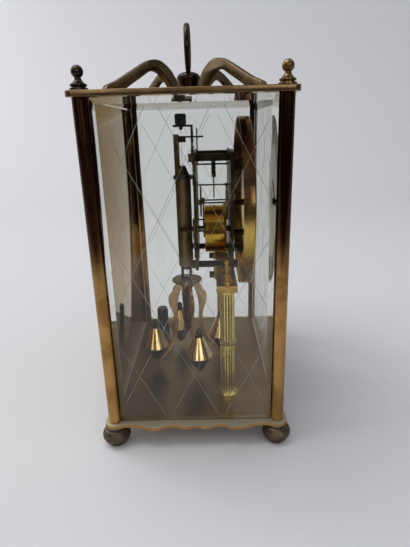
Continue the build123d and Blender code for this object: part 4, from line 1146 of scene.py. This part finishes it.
dialFaces = {
    "dialCentre": (flatRing(2.5, dial["centre"], dial["centreThick"]), "dialPaint"),
    "chapterRing": (flatRing(dial["centre"], dial["radius"] - 1.6, dial["ringThick"]), "chapterRing"),
}
for name, (shape, finishName) in dialFaces.items():
    piece = makePiece(name, [shape], finishes[finishName], "dial_pan", stands=False)

track = {"outer": 48.6, "long": 2.6, "short": 1.4, "wide": 0.8, "narrow": 0.3, "thick": 0.12}


def minuteTrack():
    # short bars round the dial, every fifth one longer and wider
    shapes = []
    outer = track["outer"]
    ringFront = dial["front"] - dial["ringThick"]
    toWorld = ([[1, 0, 0], [0, 0, 1], [0, -1, 0]], (dialAt[0], ringFront, dialAt[1]))
    for minute in range(60):
        angle = minute * turn / 60
        fifth = minute % 5 == 0
        half = track["wide" if fifth else "narrow"] / 2
        inner = outer - track["long" if fifth else "short"]
        bar = np.array([(-half, inner), (half, inner), (half, outer), (-half, outer)])
        c, s = cos(angle), sin(angle)
        spun = np.stack([bar[:, 0] * c + bar[:, 1] * s, bar[:, 1] * c - bar[:, 0] * s], -1)
        shapes.append(slab(spun, 0, track["thick"], 0.02, toWorld, 1))
    return shapes


def hourFigures():
    # the hours as raised figures, each upright, in one mesh
    work = bmesh.new()
    for hour in range(1, 13):
        letters = bpy.data.curves.new("hour" + str(hour), "FONT")
        letters.body = str(hour)
        letters.align_x = "CENTER"
        letters.align_y = "CENTER"
        letters.size = dial["numeral"] * mm
        letters.extrude = dial["numeralThick"] / 2 * mm
        letters.offset = dial["numeralBold"] * mm
        holder = bpy.data.objects.new("hour" + str(hour), letters)
        bpy.context.scene.collection.objects.link(holder)
        bpy.context.view_layer.update()
        mesh = bpy.data.meshes.new_from_object(holder.evaluated_get(bpy.context.evaluated_depsgraph_get()))
        bpy.data.objects.remove(holder)
        angle = hour * turn / 12
        x = dialAt[0] + dial["numeralReach"] * sin(angle)
        y = dial["front"] - dial["ringThick"] - dial["numeralThick"] / 2
        z = dialAt[1] + dial["numeralReach"] * cos(angle)
        mesh.transform(Matrix.Translation(Vector((x, y, z)) * mm) @ Matrix.Rotation(pi / 2, 4, "X"))
        work.from_mesh(mesh)
        bpy.data.meshes.remove(mesh)
    figures = bpy.data.meshes.new("hourFigures")
    work.to_mesh(figures)
    work.free()
    figures.materials.clear()
    figures.materials.append(finishes["ink"])
    return figures


trackPiece = makePiece("minuteTrack", minuteTrack(), finishes["ink"], "dial_pan", stands=False, sharp=20)
figuresPiece = seatPiece("hourFigures", hourFigures(), "dial_pan", stands=False)
dress("hour_hand", finishes["black"])
dress("minute_hand", finishes["black"])
print("dial ready")

# Suspension and its guard

knobLow, knobHigh = boxMm("suspension_knob")
knobAt = ((knobLow[0] + knobHigh[0]) / 2, (knobLow[1] + knobHigh[1]) / 2)
knob = {"tall": 6.3, "stem": 1.1, "ridges": 36, "ridge": 0.3}


def knobShape():
    # a knurled drum with plain rims, and the stem below it
    r = (knobHigh[0] - knobLow[0]) / 2
    top = knobHigh[2]
    low = top - knob["tall"]
    stem = [(0, knobLow[2]), (knob["stem"], knobLow[2]), (knob["stem"], low)]
    foot = [(r - 0.5, low), (r - 0.1, low + 0.3), (r - 0.1, low + 0.6)]
    drum = np.stack([np.full(6, r), np.linspace(low + 0.7, top - 0.9, 6)], -1)
    cap = [(r - 0.1, top - 0.8), (r - 0.1, top - 0.4), (r - 0.6, top), (0, top)]
    profile = np.vstack([stem, foot, drum, cap])

    def knurl(height, angle):
        # fine ridges between the rims: -ridge (1 + cos(ridges a)) / 2
        ridged = (height > low + 0.65) & (height < top - 0.85)
        return -knob["ridge"] * (0.5 + 0.5 * np.cos(knob["ridges"] * angle)) * ridged

    return lathe(profile, (knobAt[0], knobAt[1], 0), steps=144, wave=knurl)


makePiece("suspensionKnob", [knobShape()], finishes["knob"], "suspension_knob", sharp=55)
dress("guard_tube", finishes["guard"])
dress("guard_collar", finishes["steel"], 0.15)

# Pendulum

discLow, discHigh = boxMm("regulating_disc")
axisAt = ((discLow[0] + discHigh[0]) / 2, (discLow[1] + discHigh[1]) / 2)
dress("regulating_disc", finishes["guard"], 0.2)
dress("pendulum_tube", finishes["tube"])
dress("pendulum_arms", finishes["arm"], 0.25)

weight = {
    "reach": 23.7,
    "radius": 8.8,
    "mid": 15.7,
    "rise": 13.3,
    "drop": 10.2,
    "neck": 2.7,
    "rim": 0.55,
    "stud": 3.0,
    "turn": radians(18.4),
}


def weightUpper():
    # the bright upper cone, straight from its round rim to its neck
    w = weight
    mid = floorLevel + w["mid"]
    top = mid + w["rise"]
    rim = arcPoints((w["radius"] - w["rim"], mid + 0.1), w["rim"], -70, 40, 6)
    return lathe([(0, mid - 0.4), *rim, (w["neck"], top), (0, top)])


def weightLower():
    # the darker lower cone with the stud and nut under it
    w = weight
    mid = floorLevel + w["mid"]
    low = mid - w["drop"]
    profile = [
        (0, low - w["stud"]),
        (1.2, low - w["stud"]),
        (1.6, low - 2.6),
        (1.6, low - 1.6),
        (0.9, low - 1.6),
        (0.9, low),
        (2.2, low),
        (2.4, low + 0.3),
        (w["radius"] - 0.4, mid - 0.7),
        (w["radius"] - 0.6, mid - 0.4),
        (0, mid - 0.4),
    ]
    return lathe(eased(profile, 0.1))


def weightFinial():
    # a dark tapered cap on the neck
    w = weight
    low = floorLevel + w["mid"] + w["rise"]
    profile = [
        (0, low - 0.2),
        (w["neck"] + 0.1, low - 0.2),
        (w["neck"] + 0.1, low + 0.7),
        (1.5, low + 1.3),
        (2.0, low + 3.0),
        (1.6, low + 4.4),
        (0.8, low + 5.6),
        (0, low + 5.8),
    ]
    return lathe(eased(profile, 0.2), steps=40)


def roundPendulum(shape):
    # the shape at the end of each of the four arms
    out = moved(shape, (axisAt[0] + weight["reach"], axisAt[1], 0))
    return [moved(out, (0, 0, 0), weight["turn"] + step * turn / 4, axisAt) for step in range(4)]


weights = {
    "weightUppers": (weightUpper(), "weight", True),
    "weightLowers": (weightLower(), "plate", False),
    "weightFinials": (weightFinial(), "dark", False),
}
for name, (shape, finishName, stands) in weights.items():
    makePiece(name, roundPendulum(shape), finishes[finishName], "pendulum_weights", stands)
print("pendulum ready")

# Studio: a pale sweep under a soft sky, with a dark room behind the camera for the metal to reflect

studio = {
    "paper": tone(206, 206, 208),
    "room": tone(44, 41, 38),
    "sky": tone(214, 216, 220),
    "window": tone(255, 250, 238),
    "skyStrength": 1.06,
    "windowStrength": 1.1,
    "tableEnd": (-0.5, -0.36),  # metres, as are the bend and its start
    "bend": 0.9,
    "bendStart": 0.7,
}


def paperSweep():
    # a floor that follows a quarter circle up into a wall behind the clock
    along = np.linspace(-9.0, 5.0, 200)
    past = np.maximum(along - studio["bendStart"], 0)
    angle = np.minimum(past / studio["bend"], pi / 2)
    x = np.where(past > 0, studio["bendStart"] + studio["bend"] * np.sin(angle), along)
    above = np.maximum(past - studio["bend"] * pi / 2, 0)
    z = studio["bend"] * (1 - np.cos(angle)) + above
    y = np.linspace(-9.0, 9.0, 12)
    points = np.stack(np.broadcast_arrays(x[:, None], y[None, :], z[:, None]), -1).reshape(-1, 3)
    return points / mm, gridFaces(len(along), len(y), wrapColumns=False)


def paperFinish():
    # pale paper; in the metal it ends behind the camera, where the room is dark
    b = newBench("studioPaper")
    place = b.place()
    fibre = b.noise(place, 1.2, 3.0, 0.6)
    values = {"Base Color": studio["paper"], "Roughness": 0.8, "Normal": b.bump(fibre, 0.02, 0.05)}
    paper = b.node("ShaderNodeBsdfPrincipled", {}, values)
    room = b.node("ShaderNodeEmission", {}, {"Color": studio["room"], "Strength": 1.0})
    low, high = studio["tableEnd"]
    beyond = b.axis(place, "X").step(low / mm, high / mm, 1.0, 0.0)
    hidden = beyond * b.node("ShaderNodeLightPath", output="Glossy Depth").atMost(1.0)
    return b.surface(b.node("ShaderNodeMixShader", {}, {0: hidden, 1: paper, 2: room}))


points, faces = paperSweep()
paperMesh = bpy.data.meshes.new("studioPaper")
paperMesh.from_pydata((points * mm).tolist(), [], faces.tolist())
paperMesh.polygons.foreach_set("use_smooth", np.ones(len(paperMesh.polygons), bool))
paperMesh.materials.append(paperFinish())
paper = bpy.data.objects.new("studioPaper", paperMesh)
bpy.context.scene.collection.objects.link(paper)

world = bpy.data.worlds.new("studioAir")
bpy.context.scene.world = world
air = Bench(world)
mirrored = air.node("ShaderNodeLightPath", output="Glossy Depth").atMost(1.0)
direction = air.node("ShaderNodeTexCoord", output="Generated")
towardsCamera = 0.0 - air.axis(direction, "X")
rise = air.axis(direction, "Z")
behind = towardsCamera.step(-0.35, 0.25)
overhead = rise.step(0.55, 0.95, 1.0, 0.25)
dimmed = air.mix(behind * overhead, studio["sky"], studio["room"])
# two tall windows in the dark room, by the tangent of their bearing and the height of the ray
aside = air.axis(direction, "Y") / towardsCamera.atLeast(0.05)
rightWindow = aside.step(-0.86, -0.8) * aside.step(-0.14, -0.08, 1.0, 0.0)
leftWindow = aside.step(0.16, 0.22) * aside.step(0.54, 0.6, 1.0, 0.0)
tall = rise.step(0.1, 0.15) * rise.step(0.42, 0.5, 1.0, 0.0)
window = (rightWindow + leftWindow) * tall * towardsCamera.step(0.05, 0.15) * mirrored
colour = air.mix(window, air.mix(mirrored, studio["sky"], dimmed), studio["window"])
strength = studio["skyStrength"] + window * studio["windowStrength"]
backing = air.node("ShaderNodeBackground", {}, {"Color": colour, "Strength": strength})
air.node("ShaderNodeOutputWorld", {}, {"Surface": backing})


def softLamp(name, place, aim, size, power):
    # a square lamp of a size in metres and a power in watts, turned towards its aim
    lamp = bpy.data.lights.new(name, "AREA")
    lamp.shape = "SQUARE"
    lamp.size = size
    lamp.energy = power
    holder = bpy.data.objects.new(name, lamp)
    holder.location = place
    holder.rotation_euler = (Vector(aim) - Vector(place)).to_track_quat("-Z", "Y").to_euler()
    bpy.context.scene.collection.objects.link(holder)


softLamp("lampAbove", (0.05, 0.5, 1.3), (0.0, 0.05, 0.1), 0.9, 8.0)
softLamp("lampWall", (1.0, 1.5, 1.0), (1.6, 0.3, 0.75), 0.8, 7.0)
softLamp("lampWindow", (0.1, 1.35, 0.9), (0, 0, 0.1), 1.2, 2.4)

# Camera, from the photograph's own perspective

# the place is in millimetres, the turns are in degrees, focal and tall in the photograph's pixels
view = {
    "place": (-270.2, -10.1, 169.9),
    "yaw": 0.762,
    "pitch": -18.759,
    "roll": -1.552,
    "focal": 424.377,
    "tall": 547,
}
yaw, pitch, roll = (radians(view[key]) for key in ("yaw", "pitch", "roll"))
ahead = Vector((cos(yaw) * cos(pitch), sin(yaw) * cos(pitch), sin(pitch)))
level = ahead.cross(Vector((0, 0, 1))).normalized()
upright = level.cross(ahead)
right = cos(roll) * level + sin(roll) * upright
above = cos(roll) * upright - sin(roll) * level
lens = bpy.data.cameras.new("photoCamera")
lens.sensor_fit = "VERTICAL"
lens.sensor_height = 24.0
lens.lens = lens.sensor_height * view["focal"] / view["tall"]
lens.clip_start = 0.01
eye = bpy.data.objects.new("photoCamera", lens)
turned = Matrix((right, above, -ahead)).transposed().to_4x4()
eye.matrix_world = Matrix.Translation(Vector(view["place"]) * mm) @ turned
bpy.context.scene.collection.objects.link(eye)
bpy.context.scene.camera = eye
bpy.context.scene.view_settings.view_transform = "Standard"
print("studio ready")
